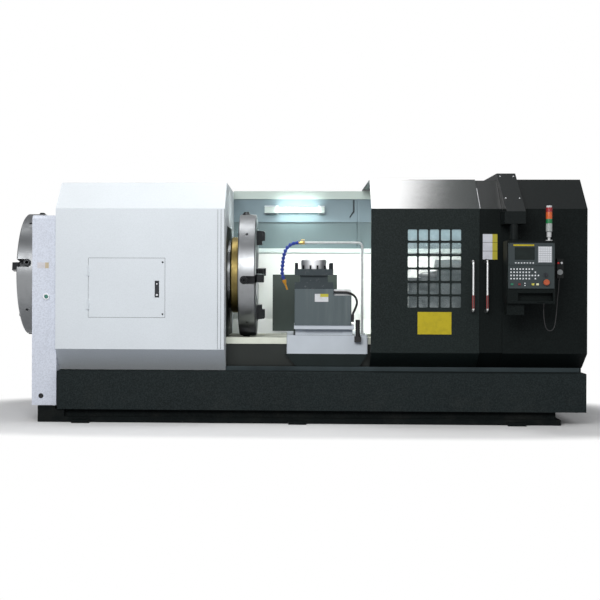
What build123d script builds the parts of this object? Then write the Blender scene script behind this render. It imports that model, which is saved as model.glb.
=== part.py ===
from build123d import *
from math import cos, pi, radians, sin, tan
import os

# Pipe threading lathe, in millimetres.
# X runs along the spindle to the right, Y away from the operator and Z up.
# The origin is on the floor, straight below the spindle axis.

# Lengths along the machine, from left to right
cover_left_x = -2155.0
headstock_cover_length = 1535.0
opening_width = 1317.0
left_door_width = 967.0
right_door_show = 205.0
right_cover_length = 751.0
right_door_hidden = 400.0

# Depths, measured from the spindle axis
front_setback = 750.0
rear_setback = 850.0

# Heights above the floor
spindle_height = 1345.0
plinth_height = 120.0
casing_top = 466.0
bed_top = 766.0
skirt_break_z = 645.0
white_skirt_break_z = 665.0
slope_start_z = 1938.0
roof_z = 2225.0
white_roof_z = 2195.0
slope_depth = 300.0
skirt_depth = 212.0

# Sheet metal and general clearances
wall = 6.0
door_gap = 3.0
door_inset = wall + 3.0
seat_gap = 0.3
slide_gap = 0.5
running_gap = 0.05

# Spindle, adapters and chucks
spindle_bore_d = 510.0
spindle_d = 640.0
nose_ring_d = 660.0
nose_ring_length = 26.0
adapter_d = 724.0
adapter_thickness = 80.0
chuck_d = 1160.0
chuck_thickness = 160.0
jaw_count = 4
jaw_width = 72.0
jaw_stand_out = 78.0
jaw_inner_r = 287.0
jaw_length = 133.0
jaw_foot_depth = 84.0
jaw_foot_back = 46.0
jaw_screw_d = 50.0
jaw_screw_depth = 100.0
front_chuck_turn = 5.0
rear_chuck_turn = 10.0

# Bearings and headstock casting
bearing_width = 110.0
bearing_outer_d = 800.0
casting_front_y = -520.0
casting_rear_y = 560.0

# Bed
bed_front_y = -480.0
bed_rear_y = 480.0
way_width = 150.0
way_thickness = 58.0
ball_screw_d = 80.0
screw_journal_d = 60.0
ball_screw_z = 640.0
ball_screw_y = -120.0

# Carriage
saddle_width = 741.0
saddle_top_z = 790.0
saddle_wing_z = 620.0
saddle_front_y = -528.0
apron_bottom_z = 508.0
dovetail_height = 57.0
cross_slide_thickness = 38.0
cross_slide_width = 547.0
dovetail_top_width = 354.0
dovetail_bottom_width = 310.0

# Tool post
post_width = 519.0
post_base_top_z = 1214.0
post_shoulder_z = 1157.0
post_front_y = -600.0
post_depth = 380.0
head_size = 352.0
head_lower_height = 62.0
head_slot_height = 62.0
head_upper_height = 58.0
head_core_size = 256.0
cap_d = 232.0
cap_height = 88.0

# Operator panel
panel_width = 411.0
panel_bottom_z = 1098.0
panel_height = 543.0
panel_front_y = -1130.0
panel_depth = 215.0

# Places that follow from the sizes above
open_left_x = cover_left_x + headstock_cover_length
open_right_x = open_left_x + opening_width
door_split_x = open_right_x + left_door_width
right_cover_x = door_split_x + right_door_show
right_end_x = right_cover_x + right_cover_length
nose_x = open_left_x + 27.0
tail_x = cover_left_x - 238.0
bed_left_x = cover_left_x + 15.0
bed_right_x = right_end_x - 60.0
casting_top_z = spindle_height + 455.0
saddle_left_x = open_left_x + 560.0
cross_slide_left_x = saddle_left_x + 67.0
post_left_x = cross_slide_left_x + 3.0
post_shoulder_x = post_left_x + 358.0
head_centre_x = post_left_x + 177.0
head_centre_y = post_front_y + 180.0
panel_left_x = right_cover_x - 23.0
front_y = -front_setback
rear_y = rear_setback
bore_r = spindle_bore_d / 2
spindle_r = spindle_d / 2
chuck_r = chuck_d / 2
front_chuck_x = nose_x + adapter_thickness
front_face_x = front_chuck_x + chuck_thickness
rear_face_x = tail_x - chuck_thickness
casing_front_y = front_y

os.makedirs("parts", exist_ok=True)


def save(piece, name):
    """Label a finished piece and write it to its own STEP file."""
    piece.label = name
    export_step(piece, f"parts/{name}.step")


def prism(plane, points, length, mode=Mode.ADD):
    """Extrude a closed outline, given by its corners, from a plane."""
    with BuildSketch(plane) as outline:
        with BuildLine():
            Polyline(*points, close=True)
        make_face()
    extrude(outline.sketch, amount=length, mode=mode)


def along_x(x_from, x_to, points, mode=Mode.ADD):
    """Extrude a (y, z) outline between two places along the machine."""
    prism(Plane.YZ.offset(x_from), points, x_to - x_from, mode)


def block(x_from, x_to, y_from, y_to, z_from, z_to, mode=Mode.ADD):
    """Add or cut a rectangular bar between two corners."""
    corners = [(x_from, y_from), (x_to, y_from), (x_to, y_to), (x_from, y_to)]
    prism(Plane.XY.offset(z_from), corners, z_to - z_from, mode)


def rod_x(x_from, x_to, y, z, r, mode=Mode.ADD):
    """A cylinder along X."""
    with BuildSketch(Plane.YZ.offset(x_from)) as disc:
        with Locations((y, z)):
            Circle(r)
    extrude(disc.sketch, amount=x_to - x_from, mode=mode)


def rod_y(y_from, y_to, x, z, r, mode=Mode.ADD):
    """A cylinder along Y."""
    with BuildSketch(Plane((x, y_from, z), x_dir=(1, 0, 0), z_dir=(0, 1, 0))) as disc:
        Circle(r)
    extrude(disc.sketch, amount=y_to - y_from, mode=mode)


def rod_z(z_from, z_to, x, y, r, mode=Mode.ADD):
    """A cylinder along Z."""
    with BuildSketch(Plane.XY.offset(z_from)) as disc:
        with Locations((x, y)):
            Circle(r)
    extrude(disc.sketch, amount=z_to - z_from, mode=mode)


# Base plinth: a heavy welded slab with a lower flange, a foot block under the
# end guard and six foundation holes in the flange.
plinth_left_x = cover_left_x - 162.0
plinth_right_x = right_end_x - 225.0
plinth_front_y = front_y + 20.0
plinth_rear_y = rear_y - 20.0
flange_height = 50.0
web_setback = 40.0
foot_length = 242.0
foot_height = 148.0
anchor_hole_d = 34.0
anchor_inset = 45.0
flange_reach = 90.0

with BuildPart() as base_plinth:
    block(plinth_left_x, plinth_right_x, plinth_front_y, plinth_rear_y, 0, flange_height)
    block(
        plinth_left_x, plinth_right_x - web_setback,
        plinth_front_y + web_setback, plinth_rear_y - web_setback,
        flange_height, plinth_height,
    )
    block(
        plinth_left_x, plinth_left_x + foot_length,
        plinth_front_y, plinth_rear_y, flange_height, plinth_height,
    )
    block(
        plinth_left_x, cover_left_x - door_gap,
        plinth_front_y, plinth_rear_y, plinth_height, foot_height,
    )
    # anchor ears stand out in front of and behind the flange
    ear_xs = [plinth_left_x + 400, (plinth_left_x + plinth_right_x) / 2, plinth_right_x - 400]
    ear_width = 160.0
    for ear_x in ear_xs:
        for side_y, side in ((plinth_front_y, -1), (plinth_rear_y, 1)):
            y_pair = sorted((side_y, side_y - side * 10 + side * flange_reach))
            block(
                ear_x - ear_width / 2, ear_x + ear_width / 2,
                y_pair[0], y_pair[1], 0, flange_height * 0.6,
            )
            rod_z(0, flange_height, ear_x, side_y + side * anchor_inset,
                  anchor_hole_d / 2, Mode.SUBTRACT)
save(base_plinth.part, "base_plinth")

# Bed base: the long casing on the plinth. Its top ledge shows in front of the
# covers.
casing_left_x = cover_left_x + 17.0
casing_right_x = right_end_x - 5.0
with BuildPart() as bed_base:
    along_x(casing_left_x, casing_right_x, [
        (casing_front_y, plinth_height),
        (rear_y, plinth_height),
        (rear_y, casing_top),
        (casing_front_y, casing_top),
    ])
    chamfer(
        bed_base.edges().filter_by(Axis.X).group_by(Axis.Z)[-1].sort_by(Axis.Y)[0:1],
        length=6,
    )
save(bed_base.part, "bed_base")

# Door rail: a flat bar on the ledge that both sliding doors run on.
rail_y = front_y + skirt_depth
rail_width = 14.0
rail_top_z = 504.5
with BuildPart() as door_rail:
    along_x(open_left_x, right_end_x - 20, [
        (rail_y - 4, casing_top),
        (rail_y + rail_width, casing_top),
        (rail_y + rail_width, casing_top + 8),
        (rail_y + 8, casing_top + 8),
        (rail_y + 8, rail_top_z),
        (rail_y - 4, rail_top_z),
    ])
save(door_rail.part, "door_rail")

# Bed: a hollow casting with two hardened ways, cross ribs between them and
# bearing lugs for the carriage screw at both ends.
bed_wall = 60.0
bed_floor = 60.0
way_lip = 16.0
screw_y = ball_screw_y
lug_length = 80.0
lug_half = 75.0
with BuildPart() as bed_ways:
    along_x(bed_left_x, bed_right_x, [
        (bed_front_y + way_lip, casing_top),
        (bed_rear_y - way_lip, casing_top),
        (bed_rear_y - way_lip, bed_top - way_thickness),
        (bed_rear_y, bed_top - way_thickness),
        (bed_rear_y, bed_top),
        (bed_rear_y - way_width, bed_top),
        (bed_rear_y - way_width, bed_top - way_thickness),
        (bed_rear_y - way_lip - bed_wall, bed_top - way_thickness),
        (bed_rear_y - way_lip - bed_wall, casing_top + bed_floor),
        (bed_front_y + way_lip + bed_wall, casing_top + bed_floor),
        (bed_front_y + way_lip + bed_wall, bed_top - way_thickness),
        (bed_front_y + way_width, bed_top - way_thickness),
        (bed_front_y + way_width, bed_top),
        (bed_front_y, bed_top),
        (bed_front_y, bed_top - way_thickness),
        (bed_front_y + way_lip, bed_top - way_thickness),
    ])
    for lug_x in (open_left_x + 20, bed_right_x - lug_length - 20):
        block(lug_x, lug_x + lug_length, screw_y - lug_half, screw_y + lug_half,
              casing_top + bed_floor, ball_screw_z + 60)
        rod_x(lug_x, lug_x + lug_length, screw_y, ball_screw_z,
              screw_journal_d / 2 + running_gap, Mode.SUBTRACT)
    # cross ribs tie the two walls together
    rib_count = 5
    rib_thickness = 40.0
    for rib in range(rib_count):
        rib_x = open_right_x + rib * 380.0
        block(rib_x, rib_x + rib_thickness,
              bed_front_y + way_lip + bed_wall, bed_rear_y - way_lip - bed_wall,
              casing_top + bed_floor, ball_screw_z - ball_screw_d / 2 - 32)
save(bed_ways.part, "bed_ways")


sill_y = front_y + skirt_depth + 26.0


def cover_profile(skirt_z, roof, inset=0.0, front_low=casing_top):
    """Side outline of a cover: skirt, front, brow, roof, back and sill."""
    rise = roof - slope_start_z
    slope_length = (slope_depth ** 2 + rise ** 2) ** 0.5
    front_drop = inset * (slope_length - slope_depth) / rise
    roof_shift = inset * (slope_length - rise) / slope_depth
    below = 1.0 if inset else 0.0
    outline = [
        (front_y + skirt_depth + inset * 0.9, front_low - below),
        (front_y + inset, skirt_z + inset * 0.45),
        (front_y + inset, slope_start_z - front_drop),
        (front_y + slope_depth + roof_shift, roof - inset),
        (rear_y - inset, roof - inset),
        (rear_y - inset, casing_top - below),
    ]
    if front_low > casing_top:
        # the front edge ends above the rail, behind it the cover stands on the casing
        outline.append((sill_y + inset, casing_top - below))
        outline.append((sill_y + inset, front_low - below))
    return outline


def casting_outline(grow=0.0):
    """End outline of the headstock casting, with its cut corners."""
    cut = 160.0
    return [
        (casting_front_y - grow, bed_top),
        (casting_rear_y + grow, bed_top),
        (casting_rear_y + grow, casting_top_z - cut + grow * 0.4),
        (casting_rear_y - cut + grow * 0.4, casting_top_z + grow),
        (casting_front_y + cut - grow * 0.4, casting_top_z + grow),
        (casting_front_y - grow, casting_top_z - cut + grow * 0.4),
    ]


# Headstock cover: a white sheet-metal hood with a sloping brow, open below,
# with a round opening at each end for the spindle and a doorway in front.
door_left_x = cover_left_x + 301.0
door_width = 693.0
door_bottom_z = 953.0
door_height = 535.0
spindle_hole_r = 345.0
post_width_x = 63.0
with BuildPart() as headstock_cover:
    along_x(cover_left_x, open_left_x, cover_profile(white_skirt_break_z, white_roof_z))
    along_x(cover_left_x + wall, open_left_x - wall,
            cover_profile(white_skirt_break_z, white_roof_z, wall), Mode.SUBTRACT)
    block(door_left_x - door_gap, door_left_x + door_width + door_gap,
          front_y - 1, front_y + wall + 1,
          door_bottom_z - door_gap, door_bottom_z + door_height + door_gap, Mode.SUBTRACT)
    rod_x(cover_left_x - 1, cover_left_x + wall + 1, 0, spindle_height,
          spindle_hole_r, Mode.SUBTRACT)
    # the right end is cut away around the headstock casting and the bed
    along_x(open_left_x - wall - 1, open_left_x + 1, casting_outline(seat_gap), Mode.SUBTRACT)
    block(open_left_x - wall - 1, open_left_x + 1, bed_front_y - seat_gap, bed_rear_y + seat_gap,
          casing_top - 1, bed_top + 1, Mode.SUBTRACT)
    # door jamb lip behind the doorway
    jamb = 22.0
    block(door_left_x - jamb, door_left_x + door_width + jamb,
          front_y + wall + 14, front_y + wall + 18,
          door_bottom_z - jamb, door_bottom_z + door_height + jamb)
    block(door_left_x + jamb, door_left_x + door_width - jamb,
          front_y + wall + 13, front_y + wall + 19,
          door_bottom_z + jamb, door_bottom_z + door_height - jamb, Mode.SUBTRACT)
    block(door_left_x - jamb, door_left_x + door_width + jamb,
          front_y + wall, front_y + wall + 14,
          door_bottom_z - jamb, door_bottom_z - jamb + 4)
    block(door_left_x - jamb, door_left_x + door_width + jamb,
          front_y + wall, front_y + wall + 14,
          door_bottom_z + door_height + jamb - 4, door_bottom_z + door_height + jamb)
    # closing post on the right edge, standing 2 mm proud of the front
    block(open_left_x - post_width_x, open_left_x, front_y - 2, front_y,
          white_skirt_break_z + 2, slope_start_z - 2)
save(headstock_cover.part, "headstock_cover")

# End guard: a pale box around the rear end of the spindle, on the foot block.
guard_left_x = cover_left_x - 225.0
guard_front_y = front_y + 60.0
guard_rear_y = rear_y - 60.0
guard_top_z = 1878.0
sight_glass_z = 1137.0
sight_boss_r = 30.0
drain_z = 233.0
port_r = 18.0
with BuildPart() as end_guard:
    along_x(guard_left_x, cover_left_x - 1, [
        (guard_front_y, foot_height),
        (guard_rear_y, foot_height),
        (guard_rear_y, guard_top_z - 30),
        (guard_rear_y - 30, guard_top_z),
        (guard_front_y + 30, guard_top_z),
        (guard_front_y, guard_top_z - 30),
    ])
    along_x(guard_left_x + wall, cover_left_x - 1 - wall, [
        (guard_front_y + wall, foot_height - 1),
        (guard_rear_y - wall, foot_height - 1),
        (guard_rear_y - wall, guard_top_z - 33),
        (guard_rear_y - 33, guard_top_z - wall),
        (guard_front_y + 33, guard_top_z - wall),
        (guard_front_y + wall, guard_top_z - 33),
    ], Mode.SUBTRACT)
    rod_x(guard_left_x - 1, cover_left_x, 0, spindle_height, spindle_hole_r, Mode.SUBTRACT)
    # boss and hole of the sight glass and the drain in the front wall
    rod_y(guard_front_y - 6, guard_front_y + wall, guard_left_x + 130, sight_glass_z,
          sight_boss_r)
    rod_y(guard_front_y - 7, guard_front_y + wall + 1, guard_left_x + 130, sight_glass_z,
          port_r, Mode.SUBTRACT)
    rod_y(guard_front_y - 1, guard_front_y + wall + 1, guard_left_x + 84, drain_z,
          port_r, Mode.SUBTRACT)
save(end_guard.part, "end_guard")

# Headstock casting: the gearbox that carries the spindle, with its upper edges
# cut back and a seat for a bearing near each end.
casting_left_x = cover_left_x + 25.0
bearing_xs = (casting_left_x + 30.0, open_left_x - 30.0 - bearing_width)
with BuildPart() as headstock_casting:
    along_x(casting_left_x, open_left_x, casting_outline())
    rod_x(casting_left_x - 1, open_left_x + 1, 0, spindle_height, spindle_r + 12, Mode.SUBTRACT)
    for bearing_x in bearing_xs:
        rod_x(bearing_x, bearing_x + bearing_width, 0, spindle_height,
              bearing_outer_d / 2, Mode.SUBTRACT)
save(headstock_casting.part, "headstock_casting")

# Spindle bearings: two outer units seated in the casting.
with BuildPart() as spindle_bearings:
    for bearing_x in bearing_xs:
        rod_x(bearing_x, bearing_x + bearing_width, 0, spindle_height, bearing_outer_d / 2)
        rod_x(bearing_x, bearing_x + bearing_width, 0, spindle_height,
              spindle_r + running_gap, Mode.SUBTRACT)
save(spindle_bearings.part, "spindle_bearings")

# Spindle: a hollow shaft with a polished nose ring, big enough for pipe to
# pass right through it.
with BuildPart() as spindle:
    with BuildSketch(Plane.XZ):
        with BuildLine():
            Polyline(
                (tail_x, spindle_height + bore_r),
                (tail_x, spindle_height + spindle_r),
                (nose_x - nose_ring_length, spindle_height + spindle_r),
                (nose_x - nose_ring_length, spindle_height + nose_ring_d / 2),
                (nose_x - 4, spindle_height + nose_ring_d / 2),
                (nose_x, spindle_height + nose_ring_d / 2 - 4),
                (nose_x, spindle_height + bore_r),
                close=True,
            )
        make_face()
    revolve(axis=Axis((0, 0, spindle_height), (1, 0, 0)))
save(spindle.part, "spindle")

# Adapter disc: the brass-coloured back plate that carries the front chuck.
with BuildPart() as adapter_ring:
    with BuildSketch(Plane.XZ):
        with BuildLine():
            Polyline(
                (nose_x, spindle_height + bore_r),
                (nose_x, spindle_height + adapter_d / 2 - 12),
                (nose_x + 12, spindle_height + adapter_d / 2),
                (front_chuck_x, spindle_height + adapter_d / 2),
                (front_chuck_x, spindle_height + bore_r),
                close=True,
            )
        make_face()
    revolve(axis=Axis((0, 0, spindle_height), (1, 0, 0)))
save(adapter_ring.part, "adapter_ring")


def chuck_plane(face_x, outward):
    """Plane on a chuck's working face, local X up and local Z outwards."""
    return Plane((face_x, 0, spindle_height), x_dir=(0, 0, 1), z_dir=(outward, 0, 0))


slot_depth = jaw_foot_depth + 1.0
slot_width = jaw_width + 2 * slide_gap
screw_start_r = jaw_inner_r + 23.0


def chuck_body(face_x, outward, turn):
    """Chuck disc with a rounded rim, jaw slots and radial screw holes."""
    face = chuck_plane(face_x, outward)
    with BuildPart() as body:
        with BuildSketch(face):
            Circle(chuck_r)
            Circle(bore_r, mode=Mode.SUBTRACT)
        extrude(amount=-chuck_thickness)
        chamfer(body.edges().filter_by(GeomType.CIRCLE).sort_by(SortBy.RADIUS)[-2:], length=8)
        # open slots for the feet of the jaws
        with BuildSketch(face):
            with PolarLocations(0, jaw_count, start_angle=turn):
                with Locations(((bore_r + chuck_r) / 2, 0)):
                    Rectangle(chuck_r - bore_r + 100, slot_width)
        extrude(amount=-slot_depth, mode=Mode.SUBTRACT)
        for jaw in range(jaw_count):
            spoke = turn + jaw * 360.0 / jaw_count
            with BuildSketch(radial_plane(face, spoke, screw_start_r, jaw_screw_depth)) as hole:
                Circle(jaw_screw_d / 2)
            extrude(hole.sketch, amount=chuck_r - screw_start_r + 20, mode=Mode.SUBTRACT)
        # balance and fixing holes in the rim
        for jaw in range(jaw_count):
            spoke = turn + (jaw + 0.5) * 360.0 / jaw_count
            with BuildSketch(radial_plane(face, spoke, chuck_r - 30, chuck_thickness / 2)) as hole:
                Circle(14)
            extrude(hole.sketch, amount=60, mode=Mode.SUBTRACT)
    return body.part


def radial_plane(face, angle, r, depth):
    """Plane at radius r and a depth below the face, facing outwards along a spoke."""
    spoke = face.x_dir * cos(radians(angle)) + face.y_dir * sin(radians(angle))
    origin = face.origin + spoke * r - face.z_dir * depth
    return Plane(origin, x_dir=face.z_dir, z_dir=spoke)


def chuck_jaw(face_x, outward, angle):
    """One jaw: a foot in the slot, grooved for its screw, and a stepped bite."""
    face = chuck_plane(face_x, outward)
    side = Plane(
        face.origin, x_dir=face.x_dir * cos(radians(angle)) + face.y_dir * sin(radians(angle)),
        z_dir=(face.y_dir * cos(radians(angle)) - face.x_dir * sin(radians(angle))),
    )
    # in the side plane, local X is radial and local Y is along the spindle
    up = 1 if side.y_dir.dot(face.z_dir) > 0 else -1
    with BuildPart() as jaw:
        with BuildSketch(side):
            with BuildLine():
                Polyline(
                    (jaw_inner_r + 6, up * -jaw_foot_depth),
                    (jaw_inner_r + jaw_length + jaw_foot_back, up * -jaw_foot_depth),
                    (jaw_inner_r + jaw_length + jaw_foot_back, up * -6),
                    (jaw_inner_r + jaw_length + 6, up * 14),
                    (jaw_inner_r + jaw_length, up * (jaw_stand_out - 10)),
                    (jaw_inner_r + jaw_length - 10, up * jaw_stand_out),
                    (jaw_inner_r + 44, up * jaw_stand_out),
                    (jaw_inner_r + 40, up * (jaw_stand_out - 26)),
                    (jaw_inner_r, up * (jaw_stand_out - 26)),
                    (jaw_inner_r, up * 4),
                    (jaw_inner_r + 6, up * 2),
                    close=True,
                )
            make_face()
        extrude(amount=jaw_width / 2, both=True)
        with BuildSketch(radial_plane(face, angle, jaw_inner_r - 10, jaw_screw_depth)) as groove:
            Circle(jaw_screw_d / 2 + slide_gap)
        extrude(groove.sketch, amount=jaw_length + jaw_foot_back + 60, mode=Mode.SUBTRACT)
    return jaw.part


front_chuck_body = chuck_body(front_face_x, 1, front_chuck_turn)
save(front_chuck_body, "front_chuck_body")
rear_chuck_body = chuck_body(rear_face_x, -1, rear_chuck_turn)
save(rear_chuck_body, "rear_chuck_body")
for number in range(jaw_count):
    spoke_angle = number * 360.0 / jaw_count
    save(chuck_jaw(front_face_x, 1, front_chuck_turn + spoke_angle), f"front_jaw_{number + 1}")
    save(chuck_jaw(rear_face_x, -1, rear_chuck_turn + spoke_angle), f"rear_jaw_{number + 1}")

# Jaw screws: one below each jaw, with a square key socket at the rim.
screw_end_r = chuck_r - 10.0
key_square = 24.0
with BuildPart() as jaw_screws:
    for face, turn in (
        (chuck_plane(front_face_x, 1), front_chuck_turn),
        (chuck_plane(rear_face_x, -1), rear_chuck_turn),
    ):
        for jaw in range(jaw_count):
            spoke = turn + jaw * 360.0 / jaw_count
            with BuildSketch(radial_plane(face, spoke, screw_start_r, jaw_screw_depth)) as shank:
                Circle(jaw_screw_d / 2)
            extrude(shank.sketch, amount=screw_end_r - screw_start_r)
            with BuildSketch(radial_plane(face, spoke, screw_end_r, jaw_screw_depth)) as socket:
                Rectangle(key_square, key_square)
            extrude(socket.sketch, amount=-30, mode=Mode.SUBTRACT)
save(jaw_screws.part, "jaw_screws")

# Rear enclosure: the wall behind the working area, folded into a roof beam,
# a lamp panel, a set-back panel, a ledge and a lower panel.
beam_height = 81.0
lamp_panel_low_z = 1892.0
ledge_top_z = 1622.0
lower_panel_low_z = 900.0
beam_top_z = roof_z - wall - door_inset - slide_gap
with BuildPart() as rear_enclosure:
    along_x(open_left_x + 0.5, right_cover_x - 0.5, [
        (rear_y, casing_top),
        (rear_y, beam_top_z),
        (rear_y - 68, beam_top_z),
        (rear_y - 68, beam_top_z - beam_height),
        (rear_y - 50, beam_top_z - beam_height),
        (rear_y - 50, lamp_panel_low_z),
        (rear_y - 35, lamp_panel_low_z),
        (rear_y - 35, ledge_top_z),
        (rear_y - 110, ledge_top_z),
        (rear_y - 110, ledge_top_z - 43),
        (rear_y - 90, ledge_top_z - 52),
        (rear_y - 90, lower_panel_low_z),
        (bed_rear_y + 90, 620),
        (bed_rear_y + 40, 560),
        (bed_rear_y + 40, casing_top),
    ])
    # upright strip that closes the lamp panel towards the sliding doors
    strip_x = open_right_x - 45
    block(strip_x, strip_x + 28, rear_y - 68, rear_y - 30, ledge_top_z,
          beam_top_z - beam_height)
save(rear_enclosure.part, "rear_enclosure")

# Work lamp: a tube between two end caps on the lamp panel.
lamp_z = 2015.0
lamp_y = rear_y - 50 - 55
lamp_left_x = open_left_x + 456.0
lamp_length = 414.0
with BuildPart() as work_lamp:
    rod_x(lamp_left_x, lamp_left_x + lamp_length, lamp_y, lamp_z, 27)
    block(lamp_left_x - 136, lamp_left_x, lamp_y - 32, rear_y - 50, lamp_z - 32, lamp_z + 32)
    block(lamp_left_x + lamp_length, lamp_left_x + lamp_length + 60,
          lamp_y - 32, rear_y - 50, lamp_z - 32, lamp_z + 32)
save(work_lamp.part, "work_lamp")

# Right fixed cover: the hood over the tailstock end of the bed, open to the
# left so that the right door can slide into it.
door_low_z = rail_top_z + slide_gap
with BuildPart() as right_cover:
    along_x(right_cover_x, right_end_x, cover_profile(skirt_break_z, roof_z, 0, door_low_z))
    along_x(right_cover_x - 1, right_end_x - wall,
            cover_profile(skirt_break_z, roof_z, wall, door_low_z), Mode.SUBTRACT)
save(right_cover.part, "right_cover")

flange_depth = 30.0


def door_shell(x_from, x_to, inset, roof_end_y):
    """A bent door in the part being built: skirt, front, brow, roof and edge flanges."""
    outer = cover_profile(skirt_break_z, roof_z, inset, door_low_z)[:4]
    inner = cover_profile(skirt_break_z, roof_z, inset + wall, door_low_z)[:4]
    outer[0] = (outer[0][0], door_low_z)
    inner[0] = (inner[0][0], door_low_z)
    along_x(x_from, x_to, outer + [
        (roof_end_y, roof_z - inset),
        (roof_end_y, roof_z - inset - wall),
    ] + inner[::-1])
    for flange_x in (x_from, x_to - wall):
        along_x(flange_x, flange_x + wall, [
            inner[1],
            (inner[1][0] + flange_depth, inner[1][1]),
            (inner[2][0] + flange_depth, inner[2][1]),
            inner[2],
        ])


pane_columns = 5
pane_rows = 6
pane_width = 83.0
pane_height = 101.0
pane_pitch_x = 98.0
pane_pitch_z = 120.0
pane_left_x = open_right_x + 327.0
pane_low_z = 1052.0
pane_radius = 12.0
pane_centre_x = pane_left_x + pane_width / 2 + pane_pitch_x * (pane_columns - 1) / 2
pane_centre_z = pane_low_z + pane_height / 2 + pane_pitch_z * (pane_rows - 1) / 2

# Left sliding door, with its grid of small rounded windows. Its roof ends in a
# lip behind the roof beam, and a slide strip below it runs on the beam.
left_door_right_x = door_split_x - door_gap / 2
lip_y = rear_y + 8.0
lip_height = 70.0
with BuildPart() as left_door:
    door_shell(open_right_x, left_door_right_x, 0.0, lip_y + wall)
    with BuildSketch(Plane((pane_centre_x, front_y - 1, pane_centre_z),
                           x_dir=(1, 0, 0), z_dir=(0, 1, 0))):
        with GridLocations(pane_pitch_x, pane_pitch_z, pane_columns, pane_rows):
            RectangleRounded(pane_width, pane_height, pane_radius)
    extrude(amount=wall + 2, mode=Mode.SUBTRACT)
    block(open_right_x, left_door_right_x, lip_y, lip_y + wall,
          roof_z - lip_height, roof_z - wall)
    block(open_right_x, left_door_right_x, rear_y - 50, rear_y - 20,
          beam_top_z + slide_gap, roof_z - wall)
save(left_door.part, "left_door")

# Door glass: one sheet clamped behind the grid.
glass_margin = 14.0
glass_thickness = 8.0
with BuildPart() as left_door_glass:
    block(pane_left_x - glass_margin,
          pane_left_x + pane_pitch_x * (pane_columns - 1) + pane_width + glass_margin,
          front_y + wall, front_y + wall + glass_thickness,
          pane_low_z - glass_margin,
          pane_low_z + pane_pitch_z * (pane_rows - 1) + pane_height + glass_margin)
save(left_door_glass.part, "left_door_glass")


handle_low_z = 1025.0
handle_length = 445.0
handle_stand_out = 62.0
handle_bar_d = 22.0
handle_bend = 30.0


def bow_handle(x, seat_y, name):
    """A round bar bent into a bow, on two feet."""
    high_z = handle_low_z + handle_length
    reach_y = front_y - handle_stand_out
    with BuildPart() as handle:
        with BuildLine() as path:
            FilletPolyline(
                (x, seat_y, handle_low_z), (x, reach_y, handle_low_z),
                (x, reach_y, high_z), (x, seat_y, high_z),
                radius=handle_bend,
            )
        with BuildSketch(Plane((x, seat_y, handle_low_z), x_dir=(1, 0, 0), z_dir=(0, -1, 0))):
            Circle(handle_bar_d / 2)
        sweep(path=path.line)
        for foot_z in (handle_low_z, high_z):
            rod_y(seat_y - 6, seat_y, x, foot_z, handle_bar_d / 2 + 8)
    save(handle.part, name)


bow_handle(door_split_x - 63.0, front_y, "left_door_handle")

# Right sliding door: set in by its own wall, it slides into the fixed cover.
right_door_left_x = door_split_x + door_gap / 2
with BuildPart() as right_door:
    door_shell(right_door_left_x, right_cover_x + right_door_hidden, door_inset, rear_y - 14)
save(right_door.part, "right_door")
bow_handle(door_split_x + 62.0, front_y + door_inset, "right_door_handle")


def along_y(y_from, y_to, points, mode=Mode.ADD):
    """Extrude an (x, z) outline between two depths."""
    prism(Plane((0, y_to, 0), x_dir=(1, 0, 0), z_dir=(0, -1, 0)), points, y_to - y_from, mode)


# Service door: a flush panel with a knuckle hinge on its left edge and a
# shallow dish for the paddle latch.
latch_left_x = door_left_x + 603.0
latch_width = 38.0
latch_height = 148.0
latch_low_z = 1134.0
latch_depth = 9.0
latch_top_gap = 3.0
dish_depth = 17.0
dish_wall = 3.0
latch_pivot_z = latch_low_z + latch_height - 8.0
latch_pivot_y = front_y + 4.0
latch_pin_r = 3.0
knuckle_r = 8.0
hinge_pin_r = 4.0
knuckle_height = 45.0
hinge_x = door_left_x - door_gap / 2
hinge_y = front_y - knuckle_r
hinge_zs = (door_bottom_z + 70.0, door_bottom_z + door_height - 70.0 - 2 * knuckle_height)
with BuildPart() as service_door:
    block(door_left_x, door_left_x + door_width, front_y, front_y + 2.5,
          door_bottom_z, door_bottom_z + door_height)
    # folded edges all round
    for edge_x in (door_left_x + 4, door_left_x + door_width - 6.5):
        block(edge_x, edge_x + 2.5, front_y, front_y + 16,
              door_bottom_z + 4, door_bottom_z + door_height - 4)
    for edge_z in (door_bottom_z + 4, door_bottom_z + door_height - 6.5):
        block(door_left_x + 4, door_left_x + door_width - 4, front_y, front_y + 16,
              edge_z, edge_z + 2.5)
    # dish behind the paddle
    block(latch_left_x - dish_wall - 2, latch_left_x + latch_width + dish_wall + 2,
          front_y, front_y + dish_depth,
          latch_low_z - dish_wall - 2, latch_low_z + latch_height + dish_wall + latch_top_gap)
    block(latch_left_x - 1, latch_left_x + latch_width + 1,
          front_y - 1, front_y + dish_depth - dish_wall,
          latch_low_z - 1, latch_low_z + latch_height + latch_top_gap, Mode.SUBTRACT)
    rod_x(latch_left_x - dish_wall - 3, latch_left_x + latch_width + dish_wall + 3,
          latch_pivot_y, latch_pivot_z, latch_pin_r + running_gap, Mode.SUBTRACT)
    # upper knuckles turn on the hinge pins
    for hinge_z in hinge_zs:
        low = hinge_z + knuckle_height + slide_gap
        high = hinge_z + 2 * knuckle_height
        block(hinge_x, door_left_x + 36, front_y - 2.5, front_y, low, high)
        rod_z(low, high, hinge_x, hinge_y, knuckle_r)
        block(hinge_x, hinge_x + knuckle_r, hinge_y, front_y, low, high)
        rod_z(low - 1, high + 1, hinge_x, hinge_y, hinge_pin_r + running_gap, Mode.SUBTRACT)
save(service_door.part, "service_door")

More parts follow.
